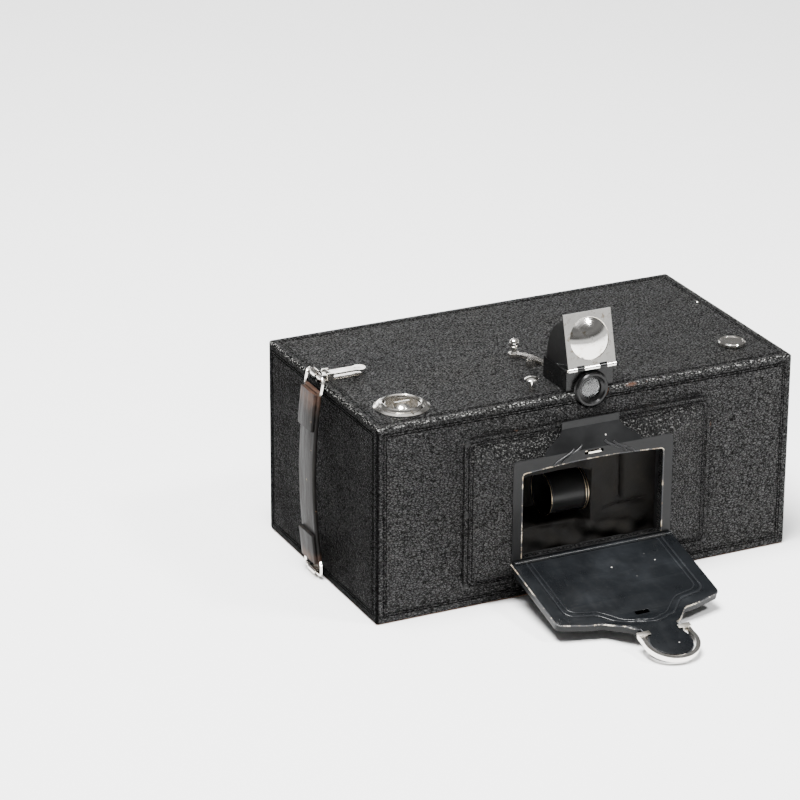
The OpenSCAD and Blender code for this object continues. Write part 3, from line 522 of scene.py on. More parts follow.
def leather_layers(s, border, lines, size, polish_and_glints=0.0, shade=0.0, painted_gleam=0.0, rubbed=0.0):
    """Finish shared by all the hard leather.

    border is the distance to the nearest edge, lines are (distance, half width) of tooled
    lines, and size is the grain's. The other four are masks: the polished slope, black and
    smooth with pale specks that are painted glints; painted shade, dark and dull; painted
    glints along the rim; and rubbed, brown wear. Creases and tooled lines carry painted
    shade, pebble tops a painted highlight.
    """
    pebble, crease = grain(s, size, (0.5, 0.8, 1.0))
    _, fine_crease = grain(s, size * 0.55, (0.7, 0.9, 1.0))
    tooled = None
    for at, half in lines:
        groove = s.line(border, at, half)
        tooled = groove if tooled is None else s.math("MAXIMUM", tooled, groove)
    patch = s.noise(26.0, 4.0, 0.6)
    scuff = s.noise(170.0, 5.0, 0.7)
    rim = s.range(border, 0.0003, 0.0017, 1.0, 0.0)
    bare = s.scaled(rim, s.range(s.noise(95.0, 4.0, 0.7), 0.62, 0.72))
    # Painted light in the grain: pebble tops take these lighter tones as a painted highlight,
    # creases and tooled lines fall to black as painted shade.
    light = s.ramp(patch, [(0.3, (0.034, 0.034, 0.0347)), (0.55, (0.044, 0.044, 0.043)),
                           (0.75, (0.056, 0.0545, 0.0515))])
    painted_lit_tops = s.scaled(crease, s.range(fine_crease, 0.0, 1.0, 0.3, 1.0))
    painted_lit_tops = s.scaled(painted_lit_tops, s.range(tooled, 0.0, 1.0, 1.0, 0.25))
    base = s.mix(painted_lit_tops, PAINTED_CREASE_SHADE, light)
    base = s.mix(s.scaled(s.range(scuff, 0.58, 0.75), 0.25), base, (0.09, 0.083, 0.075))
    # Painted shade darkens the left end.
    base = s.mix(s.scaled(shade, 0.88), base, (0.0008, 0.0008, 0.0008))
    raw = s.ramp(scuff, [(0.35, (0.04, 0.027, 0.019)), (0.7, (0.15, 0.085, 0.055))])
    base = s.mix(bare, base, raw)
    base = s.mix(polish_and_glints, base, (0.003, 0.003, 0.003))
    # Painted glints: pale specks along the top rim and on the polished slope.
    painted_glint_rim = s.scaled(painted_gleam, s.range(border, 0.0004, 0.0024, 1.0, 0.0))
    speck = s.range(s.noise(1150.0, 2.0, 0.6, s.stretch((0.7, 1.0, 1.0))), 0.57, 0.63)
    speck = s.scaled(speck, s.math("MAXIMUM", painted_glint_rim, s.scaled(polish_and_glints, 0.22)))
    base = s.mix(speck, base, (0.5, 0.5, 0.48))
    base = s.mix(s.scaled(rubbed, s.range(scuff, 0.4, 0.56)), base, (0.07, 0.034, 0.022))
    gloss = s.range(patch, 0.3, 0.75, 0.34, 0.5)
    gloss = s.math("ADD", gloss, s.range(crease, 0.0, 1.0, 0.2, 0.0))
    gloss = s.math("SUBTRACT", gloss, s.scaled(rim, 0.1))
    gloss = s.math("SUBTRACT", gloss, s.scaled(polish_and_glints, 0.16))
    # Painted shade also holds back the left end's reflection.
    shine = s.scaled(s.range(painted_lit_tops, 0.0, 0.7, 0.02, 0.36),
                     s.range(shade, 0.0, 1.0, 1.0, 0.08))
    s.set(Base_Color=base, Roughness=gloss, Specular_IOR_Level=shine)
    relief = s.math("ADD", s.scaled(pebble, 0.5), s.scaled(crease, 0.6))
    relief = s.scaled(relief, s.range(tooled, 0.0, 1.0, 1.0, 0.35))
    s.bump((s.noise(2600.0, 3.0), 0.25, 0.00005), (fine_crease, 0.2, 0.00012),
           (relief, 1.0, 0.0024), (s.math("SUBTRACT", 1.0, tooled), 0.6, 0.0003))
    return s.material


def panel_leather(low, high):
    """The raised panel's leather: lines follow its own border, the outermost a painted shadow line,
    and its upper slope is polished, with painted glints.
    """
    s = Shader("panel_leather")
    x, _, z = s.split()
    edge_x = s.math("SUBTRACT", high[0], s.math("ABSOLUTE", x))
    edge_z = to_nearest(s, z, low[2], high[2])
    border = s.math("MINIMUM", edge_x, edge_z)
    # The upper slope: polished, and sprinkled with painted glints.
    upper = s.range(z, high[2] - 0.018, high[2] - 0.0155)
    upper = s.scaled(upper, s.range(border, 0.003, 0.005))
    # The first line darkens the panel's edge as a painted shadow line; the other two are tooled
    # lines.
    lines = [(0.0002, 0.0011), (0.0033, 0.0005), (0.0057, 0.0005)]
    return leather_layers(s, border, lines, 0.001, polish_and_glints=upper)


def lid_leather():
    """The loading lid's leather, plain to its edges."""
    far_from_edges = 0.05
    return leather_layers(Shader("lid_leather"), far_from_edges, [(0.0046, 0.0005)], 0.0021)


def soft_leather():
    """Thin black leather, dull and dusty."""
    s = Shader("apron_leather")
    _, crease = grain(s, 0.0011, (1.0, 1.0, 1.0))
    dust = s.noise(60.0, 5.0, 0.65)
    base = s.ramp(dust, [(0.35, (0.004, 0.0036, 0.0032)), (0.6, (0.012, 0.0106, 0.0088)),
                         (0.8, (0.028, 0.024, 0.019))])
    s.set(Base_Color=base, Roughness=s.range(dust, 0.3, 0.7, 0.62, 0.86),
          Specular_IOR_Level=0.2)
    s.bump((s.noise(1800.0, 3.0), 0.3, 0.00006), (crease, 0.35, 0.0002),
           (s.noise(240.0, 4.0), 0.3, 0.0004))
    return s.material


def strap_leather(low, high):
    """Smooth dark strap, rubbed brown at both ends and streaked along its length."""
    s = Shader("strap_leather")
    z = s.split()[2]
    streak = s.noise(260.0, 5.0, 0.6, s.stretch((1.0, 1.0, 0.08), s.warp(60.0, 0.004)))
    blotch = s.noise(55.0, 5.0, 0.65)
    top = s.range(z, high[2] - 0.016, high[2] - 0.003)
    foot = s.range(z, low[2] + 0.009, low[2] + 0.002)
    ends = s.math("MAXIMUM", top, foot)
    worn = s.scaled(ends, s.range(blotch, 0.38, 0.6))
    scar = s.scaled(s.range(s.noise(150.0, 4.0, 0.7), 0.66, 0.74), 0.8)
    base = s.ramp(streak, [(0.3, (0.0022, 0.002, 0.0019)), (0.55, (0.006, 0.0054, 0.005)),
                           (0.8, (0.02, 0.0175, 0.015))])
    brown = s.ramp(streak, [(0.3, (0.02, 0.0105, 0.0075)), (0.75, (0.075, 0.043, 0.03))])
    base = s.mix(worn, base, brown)
    base = s.mix(scar, base, (0.2, 0.13, 0.07))
    s.set(Base_Color=base, Roughness=s.range(streak, 0.3, 0.75, 0.4, 0.62),
          Specular_IOR_Level=0.1)
    s.bump((s.noise(1500.0, 4.0), 0.3, 0.00008), (streak, 0.6, 0.0005),
           (s.noise(90.0, 4.0), 0.3, 0.0006))
    return s.material


def enamel(name, tint, wear, rough):
    """Old baked enamel: slightly wavy, dusty, scratched, and chipped in specks."""
    s = Shader(name)
    cloud = s.noise(34.0, 5.0, 0.6)
    rub = s.noise(150.0, 6.0, 0.7, s.stretch((1.0, 0.25, 1.0)))
    dust = s.range(s.noise(700.0, 3.0, 0.8), 0.6, 0.8)
    chip = s.scaled(s.range(s.cells(120.0), 0.06, 0.045, 0.0, 1.0),
                  s.range(s.noise(18.0, 2.0), 0.56, 0.6))
    dark = tuple(c * 0.6 for c in tint)
    light = tuple(c * 1.9 for c in tint)
    base = s.ramp(cloud, [(0.3, dark), (0.55, tint), (0.8, light)])
    base = s.mix(s.scaled(dust, 0.05 * wear), base, (0.3, 0.3, 0.3))
    base = s.mix(chip, base, (0.62, 0.6, 0.56))
    gloss = s.range(cloud, 0.3, 0.7, rough, rough + 0.14)
    gloss = s.math("ADD", gloss, s.range(rub, 0.45, 0.75, 0.0, 0.14))
    s.set(Base_Color=base, Roughness=gloss, Specular_IOR_Level=0.15, Coat_Weight=0.05,
          Coat_Roughness=0.1)
    s.bump((rub, 0.1, 0.0001), (s.noise(45.0, 3.0), 0.12, 0.0012),
           (s.math("SUBTRACT", 1.0, chip), 0.5, 0.0001))
    return s.material


def worn_rim():
    """Enamel rubbed through to bright metal and rust along a thin edge."""
    s = Shader("worn_rim")
    spot = s.noise(130.0, 6.0, 0.75)
    rust = s.noise(75.0, 4.0, 0.6)
    bare = s.range(spot, 0.5, 0.58)
    metal = s.ramp(rust, [(0.35, (0.7, 0.66, 0.58)), (0.55, (0.4, 0.33, 0.24)),
                          (0.7, (0.16, 0.08, 0.04))])
    s.set(Base_Color=s.mix(bare, (0.02, 0.021, 0.024), metal), Metallic=s.scaled(bare, 0.75),
          Roughness=s.range(rust, 0.3, 0.7, 0.3, 0.62))
    s.bump((spot, 0.5, 0.0002))
    return s.material


def blackened(name, rough, shade):
    """Black lacquer on brass, rubbed thin in places."""
    s = Shader(name)
    cloud = s.noise(80.0, 5.0, 0.65)
    hair = s.noise(900.0, 3.0, 0.6, s.stretch((0.2, 1.0, 1.0)))
    rub = s.scaled(s.range(s.noise(190.0, 6.0, 0.75), 0.64, 0.78), 0.5)
    base = s.ramp(cloud, [(0.3, (shade * 0.6,) * 3), (0.6, (shade,) * 3),
                          (0.85, (shade * 2.4, shade * 2.2, shade * 2.0))])
    base = s.mix(rub, base, (0.11, 0.085, 0.055))
    s.set(Base_Color=base, Roughness=s.range(cloud, 0.3, 0.75, rough, rough + 0.18),
          Specular_IOR_Level=0.2, Coat_Weight=0.05, Coat_Roughness=0.1)
    s.bump((hair, 0.12, 0.00004), (cloud, 0.08, 0.0004))
    return s.material


def plated(name, tint, rough, tarnish):
    """Old bare or plated metal: hazed, stained and pitted."""
    s = Shader(name)
    haze = s.noise(110.0, 5.0, 0.65)
    pit = s.range(s.noise(1100.0, 3.0, 0.75), 0.66, 0.78)
    stain = s.scaled(s.range(s.noise(240.0, 5.0, 0.7), 0.55, 0.72), tarnish)
    base = s.mix(stain, tint, (0.42, 0.35, 0.25))
    base = s.mix(s.scaled(pit, 0.6), base, (0.1, 0.09, 0.07))
    s.set(Base_Color=base, Metallic=1.0, Roughness=s.range(haze, 0.3, 0.75, rough, rough + 0.14))
    s.bump((s.noise(520.0, 4.0), 0.08, 0.0001), (pit, 0.2, 0.00005))
    return s.material


def wood():
    """Reddish mahogany with fine pores along X."""
    s = Shader("mahogany")
    place = s.stretch((0.12, 1.0, 1.0), s.warp(9.0, 0.02))
    figure = s.noise(90.0, 6.0, 0.6, place)
    pore = s.noise(1500.0, 2.0, 0.5, s.stretch((0.05, 1.0, 1.0)))
    base = s.ramp(figure, [(0.3, (0.1, 0.035, 0.016)), (0.55, (0.2, 0.08, 0.035)),
                           (0.8, (0.3, 0.14, 0.07))])
    s.set(Base_Color=s.mix(s.range(pore, 0.6, 0.7), base, (0.05, 0.02, 0.01)),
          Roughness=s.range(figure, 0.3, 0.7, 0.42, 0.62))
    s.bump((pore, 0.4, 0.00012))
    return s.material


def stained_wood():
    """The front board: mahogany, black across the lens opening's width above its foot."""
    s = Shader("blacked_mahogany")
    x, _, z = s.split()
    figure = s.noise(90.0, 6.0, 0.6, s.stretch((0.12, 1.0, 1.0)))
    inside = s.scaled(s.range(s.math("ABSOLUTE", x), 0.052, 0.05),
                      s.range(z, 0.018, 0.021))
    base = s.ramp(figure, [(0.3, (0.1, 0.035, 0.016)), (0.8, (0.3, 0.14, 0.07))])
    s.set(Base_Color=s.mix(inside, base, (0.004, 0.004, 0.004)),
          Roughness=s.range(figure, 0.3, 0.7, 0.6, 0.8))
    s.bump((figure, 0.3, 0.0002))
    return s.material


def glass(name, tint, rough):
    """Old glass with a trace of haze and dust."""
    s = Shader(name)
    dust = s.range(s.noise(420.0, 5.0, 0.7), 0.5, 0.75)
    s.set(Base_Color=s.mix(s.scaled(dust, 0.25), tint, (0.62, 0.62, 0.6)),
          Roughness=s.range(dust, 0.0, 1.0, rough, rough + 0.12), Transmission_Weight=1.0,
          IOR=1.5)
    s.bump((s.noise(160.0, 3.0), 0.04, 0.0002))
    return s.material


def mirror():
    """Silvered glass with a few blind spots."""
    s = Shader("silvered_glass")
    spot = s.range(s.noise(300.0, 5.0, 0.7), 0.6, 0.75)
    s.set(Base_Color=s.mix(s.scaled(spot, 0.5), (0.88, 0.89, 0.9), (0.3, 0.28, 0.25)),
          Metallic=1.0, Roughness=s.range(spot, 0.0, 1.0, 0.04, 0.3))
    s.bump((s.noise(50.0, 2.0), 0.03, 0.0003))
    return s.material


# ---- Body covering ----

def refine(low, high, near, step):
    """Grid positions: at the given distances from both ends, and about a step apart between."""
    count = max(1, round((high - low - 2 * near[-1]) / step))
    middle = [low + near[-1] + (high - low - 2 * near[-1]) * i / count for i in range(1, count)]
    return [low + d for d in near] + middle + [high - d for d in reversed(near)]


def groove_depth(distance, lines):
    """How deep a tooled line presses the leather in, at a distance from the edge."""
    return max(depth * max(0.0, 1 - abs(distance - at) / half) for at, half, depth in lines)


EDGE_ROUND = 1.8 * MM
LEATHER_SKIN = 0.75 * MM
LINE_HALF, LINE_DEPTH = 0.45 * MM, 0.22 * MM
GRID_STEP = 9 * MM
WAVE_DEPTH, SKIN_SINK = 0.12 * MM, 0.15 * MM
MOUTH_LOW, MOUTH_HIGH = (-47.5 * MM, 24 * MM), (47.5 * MM, 83.5 * MM)


def make_covering():
    """The leather over the box: one wavy skin with rounded edges, cut where fittings go through."""
    low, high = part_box("leather_covering")
    lines = [(at, LINE_HALF, LINE_DEPTH) for at in BODY_LINES]
    near = [d * MM for d in (0.0, 0.3, 0.7, 1.2, 1.8, 4.1, 4.6, 5.1, 5.6, 6.1, 6.6)]
    stations = [refine(low[k], high[k], near, GRID_STEP) for k in range(3)]
    bm = bmesh.new()
    found = {}

    def corner(place):
        key = tuple(round(c, 7) for c in place)
        if key not in found:
            found[key] = bm.verts.new(shaped(Vector(place)))
        return found[key]

    def shaped(place):
        gap = [min(place[k] - low[k], high[k] - place[k]) for k in range(3)]
        core = Vector([min(max(place[k], low[k] + EDGE_ROUND), high[k] - EDGE_ROUND)
                       for k in range(3)])
        out = place - core
        sideways = sorted(gap)
        if out.length > 1e-9:
            place = core + out.normalized() * min(out.length, EDGE_ROUND)
        press = groove_depth(sideways[1], lines)
        wave = (WAVE_DEPTH * math.sin(place.x * 90 + place.z * 70)
                * math.sin(place.y * 80 - place.z * 60))
        if sideways[0] < 1e-9 and sideways[1] > 2 * EDGE_ROUND:
            axis = gap.index(sideways[0])
            inward = Vector((0, 0, 0))
            inward[axis] = 1.0 if place[axis] - low[axis] < high[axis] - place[axis] else -1.0
            place = place + inward * (press + SKIN_SINK + wave)
        return place

    for axis in range(3):
        u, v = [k for k in range(3) if k != axis]
        for level in (low[axis], high[axis]):
            if axis == 2 and level == low[2]:
                continue
            for i in range(len(stations[u]) - 1):
                for j in range(len(stations[v]) - 1):
                    quad = []
                    for a, b in ((i, j), (i + 1, j), (i + 1, j + 1), (i, j + 1)):
                        place = [0.0, 0.0, 0.0]
                        place[axis], place[u], place[v] = level, stations[u][a], stations[v][b]
                        quad.append(corner(place))
                    bm.faces.new(quad)
    rim = [e for e in bm.edges if e.is_boundary]
    bmesh.ops.holes_fill(bm, edges=rim, sides=len(rim) + 1)
    bmesh.ops.recalc_face_normals(bm, faces=bm.faces)
    wrap = from_bmesh("leather_wrap", bm)
    house_low, house_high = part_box("finder_housing")
    bezel, window = middle_of("finder_bezel"), middle_of("window_ring")
    clear, past, deep = 0.1 * MM, 5 * MM, 6 * MM
    cutters = [box_piece("cut_mouth", (MOUTH_LOW[0], low[1] - past, MOUTH_LOW[1]),
                         (MOUTH_HIGH[0], low[1] + past, MOUTH_HIGH[1])),
               box_piece("cut_finder", (house_low.x - clear, low[1] + 2.6 * MM, high[2] - 9 * MM),
                         (house_high.x + clear, house_high.y + clear, high[2] + past)),
               rod_piece("cut_bezel", (bezel.x, low[1] + 1 * MM, bezel.z), 11.2 * MM, 8 * MM,
                         (0, 1, 0))]
    for node, radius in (("winding_key", 11.8), ("supply_knob", 2.7), ("tension_lever", 2.7),
                         ("release_button", 1.5)):
        spot = turning_centre(node)
        cutters.append(rod_piece("cut_" + node, (spot.x, spot.y, high[2]), radius * MM, deep,
                                 (0, 0, 1)))
    cutters.append(rod_piece("cut_window", (window.x, high[1], window.z), 6 * MM, deep, (0, 1, 0)))
    cutters.append(box_piece("cut_inside",
                             (low[0] + LEATHER_SKIN, low[1] + LEATHER_SKIN, low[2] - past),
                             [side - LEATHER_SKIN for side in high]))
    carve(wrap, cutters)
    weld(wrap, 1e-7)
    smooth(wrap, 40)
    dress(wrap, "camera_body", "leather", body_leather(low, high), "leather_covering")


def middle_of(node):
    low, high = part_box(node)
    return (low + high) / 2


def turning_centre(node):
    """Where a top fitting's spindle stands."""
    hinge = {"tension_lever": "tension_lever", "winding_key": "winder_turn"}.get(node)
    return Vector(joints[hinge]["pos_m"]) if hinge else middle_of(node)


# ---- Raised front panel ----

PER_CORNER, PER_SIDE = 8, 10
PANEL_LEVEL, PANEL_BORDER, PANEL_CORNER_R = 1.2 * MM, 4.5 * MM, 7 * MM
# Half width, foot and top of the slopes' upper edge, and of the hole.
PANEL_TOP = (54 * MM, 22.5 * MM, 88 * MM)
PANEL_HOLE = (46.5 * MM, 26 * MM, 82.5 * MM)
SLOPE_STEPS = 8


def rounded_ring(half_w, z0, z1, r, y):
    """A rounded rectangle at depth y, with the same count of points for any size."""
    points = []
    corners = [(half_w - r, z1 - r, 0), (-half_w + r, z1 - r, 90),
               (-half_w + r, z0 + r, 180), (half_w - r, z0 + r, 270)]
    for k, (cx, cz, start) in enumerate(corners):
        points += [(x, y, z) for x, z in arc(cx, cz, r, start, start + 90, PER_CORNER)]
        nx, nz, turn = corners[(k + 1) % 4]
        last = points[-1]
        first = (nx + r * math.cos(math.radians(turn)), nz + r * math.sin(math.radians(turn)))
        points += [(last[0] + (first[0] - last[0]) * i / PER_SIDE, y,
                    last[2] + (first[1] - last[2]) * i / PER_SIDE) for i in range(1, PER_SIDE)]
    return points


def make_panel():
    """The raised panel: flat border with two pressed lines, swelling slopes, hole for the lens."""
    low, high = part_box("front_panel")
    back, proud = high.y, low.y
    half, z0, z1 = high.x, low.z, high.z
    flat = back - PANEL_LEVEL
    rings = [rounded_ring(half, z0, z1, PANEL_CORNER_R, back + 0.3 * MM),
             rounded_ring(half, z0, z1, PANEL_CORNER_R, back - 0.7 * MM),
             rounded_ring(half - 0.2 * MM, z0 + 0.2 * MM, z1 - 0.2 * MM, 6.8 * MM, flat + 0.1 * MM),
             rounded_ring(half - 0.7 * MM, z0 + 0.7 * MM, z1 - 0.7 * MM, 6.4 * MM, flat)]
    foot_w, foot_low, foot_high = half - PANEL_BORDER, z0 + PANEL_BORDER, z1 - PANEL_BORDER
    for back_off, press in ((3.2, 0.0), (2.75, 0.35), (2.3, 0.0),
                            (1.6, 0.0), (1.15, 0.35), (0.7, 0.0)):
        off = (back_off - 1.0) * MM
        rings.append(rounded_ring(foot_w + off, foot_low - off, foot_high + off, 5.2 * MM,
                                  flat + press * MM))
    top_w, top_low, top_high = PANEL_TOP
    for step in range(SLOPE_STEPS + 1):
        t = step / SLOPE_STEPS
        swell = t + 0.035 * math.sin(2 * math.pi * t)
        rings.append(rounded_ring(foot_w + (top_w - foot_w) * t,
                                  foot_low + (top_low - foot_low) * t,
                                  foot_high + (top_high - foot_high) * t, (5 - 2.5 * t) * MM,
                                  flat + (proud - flat) * min(1.0, swell)))
    lip = 1.5 * MM
    hole_w, hole_low, hole_high = PANEL_HOLE
    rings.append(rounded_ring(hole_w + lip, hole_low - lip, hole_high + lip, 2 * MM, proud))
    rings.append(rounded_ring(*PANEL_HOLE, lip, proud + 0.3 * MM))
    rings.append(rounded_ring(*PANEL_HOLE, lip, back + 0.3 * MM))
    panel = loft("panel_leather", rings + [rings[0]], False)
    weld(panel, 1e-7)
    slot_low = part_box("door_catch")[0].z - 0.3 * MM
    carve(panel, [box_piece("cut_catch", (-8 * MM, proud - 3 * MM, slot_low),
                            (8 * MM, proud + 3 * MM, 87.6 * MM))])
    smooth(panel, 34)
    dress(panel, "camera_body", "leather", panel_leather(low, high), "front_panel")


# ---- Door frame trim ----

FRAME_THICK = 0.8 * MM
OPENING_HALF, OPENING_LOW, OPENING_HIGH = 45.5 * MM, 27.5 * MM, 80 * MM
TRIM_GAP = 0.05 * MM
TOP_STEPS, BEAD_STEPS = 14, 12


def opening_path():
    """The opening's outline in X and Z, from foot to foot over its bowed top."""
    half, z0, z1 = OPENING_HALF + TRIM_GAP, OPENING_LOW - TRIM_GAP, OPENING_HIGH + TRIM_GAP
    r = 2 * MM + TRIM_GAP
    top = [(-(half - r) * (2 * i / TOP_STEPS - 1), z1 + 2 * MM * math.sin(math.pi * i / TOP_STEPS))
           for i in range(1, TOP_STEPS)]
    return ([(half, z0)] + arc(half - r, z1 - r, r, 0, 90, 5) + top
            + arc(-half + r, z1 - r, r, 90, 180, 5) + [(-half, z0)])


def make_frame_trim():
    """The frame's worn edge round the opening, and its two pairs of curved ribs."""
    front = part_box("front_panel")[0].y - FRAME_THICK
    path = [(x, front + 0.25 * MM, z) for x, z in opening_path()]
    edge = tube("frame_edge", path, 0.42 * MM, 8)
    dress(edge, "camera_body", "enamel", worn_rim())
    beads = []
    for side in (-1, 1):
        for shift in (0.0, 5.4):
            path = []
            for i in range(BEAD_STEPS + 1):
                t = i / BEAD_STEPS
                x = (26 - shift - 11 * ease(t) - 2.2 * t) * MM
                z = (81.2 + 8.6 * t + 0.25 * shift) * MM
                slope = max(0.0, (z - 88 * MM) / (12.5 * MM))
                path.append((side * x, front - 0.12 * MM + slope * 5 * MM, z))
            beads.append(tube(f"bead_{side}_{shift}", path, 0.62 * MM, 8))
    ribs = join("frame_ribs", beads)
    # The ribs' enamel is a lighter copy of the frame's, a painted highlight on the ribs.
    dress(ribs, "camera_body", "enamel", enamel("rib_enamel_painted_highlight", (0.022, 0.0225, 0.023), 0.6, 0.2))


# ---- Drop front ----

DOOR_TILT = math.radians(13.5)
# The door's outline in millimetres; s is the distance from the hinge.
DOOR_HALF, DOOR_CORNER_S, SHOULDER_HALF = 52, 58, 29
NECK_HALF, NECK_S, TIP_S, TIP_R = 11.2, 79, 94, 12.5
# The tongue is stepped up by STEP_RISE from STEP_S over STEP_RUN.
STEP_RISE, STEP_S, STEP_RUN = 4.8, 62, 15
LINER_THICK = 0.8 * MM
KNUCKLES = [(-51, -47.3), (-28.7, 28.7), (47.3, 51)]
KNUCKLE_R, PIN_R, BORE_LENGTH = 1.5 * MM, 0.8 * MM, 200 * MM


def door_matrix():
    """From the door's own frame (x, -s, height) to the part's frame."""
    hinge = Vector(joints["front_door"]["pos_m"])
    hinge.x = 0.0
    return Matrix.Translation(hinge) @ Matrix.Rotation(DOOR_TILT, 4, "X")


def door_half_outline(inset):
    """The door's right half as (x, y) in millimetres, from the hinge to the tongue's tip."""
    half, steps = DOOR_HALF - inset, 16
    points = [(half, 2.6 - 1.2)]
    points += [(half, -DOOR_CORNER_S * t) for t in (0.2, 0.4, 0.6, 0.8)]
    points += arc(DOOR_HALF - 4 - inset, -DOOR_CORNER_S + 4 + inset, 4, 0, -80, 6)
    points += [(DOOR_HALF - 9 - inset, -DOOR_CORNER_S - 1.6 + inset),
               (SHOULDER_HALF + 6 - inset, -DOOR_CORNER_S - 4 + inset)]
    points += [(SHOULDER_HALF - inset - (SHOULDER_HALF - NECK_HALF) * i / steps,
                -blend_between(DOOR_CORNER_S + 5, NECK_S, i / steps) + inset)
               for i in range(1, steps + 1)]
    start = math.degrees(math.acos((NECK_HALF - inset) / (TIP_R - inset)))
    return points + arc(0, -TIP_S, TIP_R - inset, start, -90, steps)


def door_rise(s):
    """How far the tongue is stepped up, in millimetres, at distance s from the hinge."""
    return STEP_RISE * ease((s - STEP_S) / STEP_RUN)


def mirrored(half_points):
    """The same points with X turned round, in the opposite order."""
    return [(-x, y) for x, y in reversed(half_points)]


def door_spine(turn, points, height):
    """Places in the part's frame for door points in millimetres, at a height over the plate."""
    return [turn @ Vector((x * MM, y * MM, (height + door_rise(-y)) * MM)) for x, y in points]


def make_door():
    """The drop front's inner plate with its slot, double ridge, knuckles and worn rim."""
    turn = door_matrix()
    half_outline = door_half_outline(0.1)
    outline = [(x * MM, y * MM) for x, y in half_outline + mirrored(half_outline)]
    cuts = [-(60 + i) * MM for i in range(20)] + [-s * MM for s in range(5, 60, 5)]
    slot = [(x * MM, y * MM) for x, y in rounded_rect(-4.4, -62.2, 4.4, -59.2, 0.6, 3)]

    def lifted(x, y, z):
        return turn @ Vector((x, y, z - LINER_THICK / 2 + door_rise(-y / MM) * MM))

    pieces = [plate("inner_plate", outline, [slot], LINER_THICK, 0.22 * MM, cuts, lifted)]
    beads = []
    for inset, height, radius in ((0.0, 0.0, 0.85), (2.9, -0.1, 0.6)):
        half = 44 - inset
        path = [(half, -1.8), (half, -15), (half, -30)]
        path += arc(half - 6.5, -47.5 + inset, 6.5, 0, -80, 8)
        foot_x, foot_y = 30.5 - inset * 0.6, -55.5 + inset
        path += [(foot_x, foot_y)]
        path += [(foot_x - (foot_x - 9.5 + inset) * i / 10,
                  foot_y - (16.5 - inset * 0.2) * ease(i / 10)) for i in range(1, 11)]
        path += [(5.5 - inset * 0.5, path[-1][1] - 2.8), (0, path[-1][1] - 3.8)]
        path += mirrored(path[:-1])
        spine = door_spine(turn, smooth_path(path), height)
        beads.append(tube("ridge", spine, radius * MM, 10))
    for x0, x1 in KNUCKLES:
        spot = ((x0 + x1) / 2 * MM, 0, 0)
        barrel = rod_piece("knuckle", spot, KNUCKLE_R, (x1 - x0) * MM, (1, 0, 0), 32)
        bore = rod_piece("bore", spot, PIN_R, BORE_LENGTH, (1, 0, 0), 24)
        pieces.append(carve(transformed(barrel, turn), [transformed(bore, turn)]))
    ridges = join("door_beads", beads)
    # The beads' enamel is a lighter copy of the door's, a painted highlight on the ridges.
    dress(ridges, "drop_front", "enamel",
          enamel("bead_enamel_painted_highlight", (0.0105, 0.0114, 0.0128), 0.8, 0.16))
    liner = smooth(join("door_inner", pieces), 38)
    dress(liner, "drop_front", "enamel",
          enamel("door_enamel", (0.0045, 0.0052, 0.0061), 0.8, 0.24), "door_liner")
    rim_half = door_half_outline(-0.02)
    rim_path = door_spine(turn, rim_half + mirrored(rim_half)[1:], -0.95)
    rim = tube("door_rim", rim_path, 0.4 * MM, 8)
    dress(rim, "drop_front", "enamel", worn_rim())


def make_lug_straps():
    """Flat nickel strips that lie across the tongue's edges and hold the loop's pins."""
    turn = door_matrix()
    parts = []
    for side in (-1, 1):
        for middle, half, s_far, s_near, foot, top in ((12.9, 3.9, 86.6, 83.4, 5.35, 5.95),
                                                       (12.5, 1.3, 87, 83, 2.1, 5.5)):
            block = box_piece("block", (side * middle * MM - half * MM, -s_far * MM, foot * MM),
                              (side * middle * MM + half * MM, -s_near * MM, top * MM), 0.2 * MM)
            parts.append(transformed(block, turn))
    lugs = smooth(join("lug_straps", parts), 40)
    dress(lugs, "drop_front", "nickel", plated("lug_nickel", (0.8, 0.76, 0.68), 0.22, 0.7),
          "pull_lugs")


def make_barrel_rings():
    """The worn bright rims of the lens barrel and its mount."""
    low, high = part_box("lens_barrel")
    mid_y, mid_z = (low.y + high.y) / 2, (low.z + high.z) / 2
    radius = (high.z - low.z) / 2
    cell_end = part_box("lens_cell")[1].x
    rings = []
    for x, r, wire in ((low.x + 0.1 * MM, radius - 0.25 * MM, 0.28 * MM),
                       (high.x + 0.6 * MM, radius, 0.3 * MM),
                       (cell_end - 2.2 * MM, radius - 0.2 * MM, 0.35 * MM)):
        path = [(x, mid_y + r * math.cos(a), mid_z + r * math.sin(a)) for a in full_turn(72)]
        rings.append(tube("ring", path, wire, 8, closed=True))
    dress(join("barrel_rings", rings), "swinging_lens", "brass",
          plated("rubbed_brass", (0.42, 0.34, 0.24), 0.3, 0.8))


def smooth_path(points, rounds=2):
    """Corner cutting that keeps both ends."""
    for _ in range(rounds):
        cut = [points[0]]
        for a, b in zip(points, points[1:]):
            cut.append(tuple(p * 0.75 + q * 0.25 for p, q in zip(a, b)))
            cut.append(tuple(p * 0.25 + q * 0.75 for p, q in zip(a, b)))
        points = cut + [points[-1]]
    return points


# ---- Light trap behind the opening ----

APRON_FRONT, POCKET_DEPTH = -67.6, 22.8


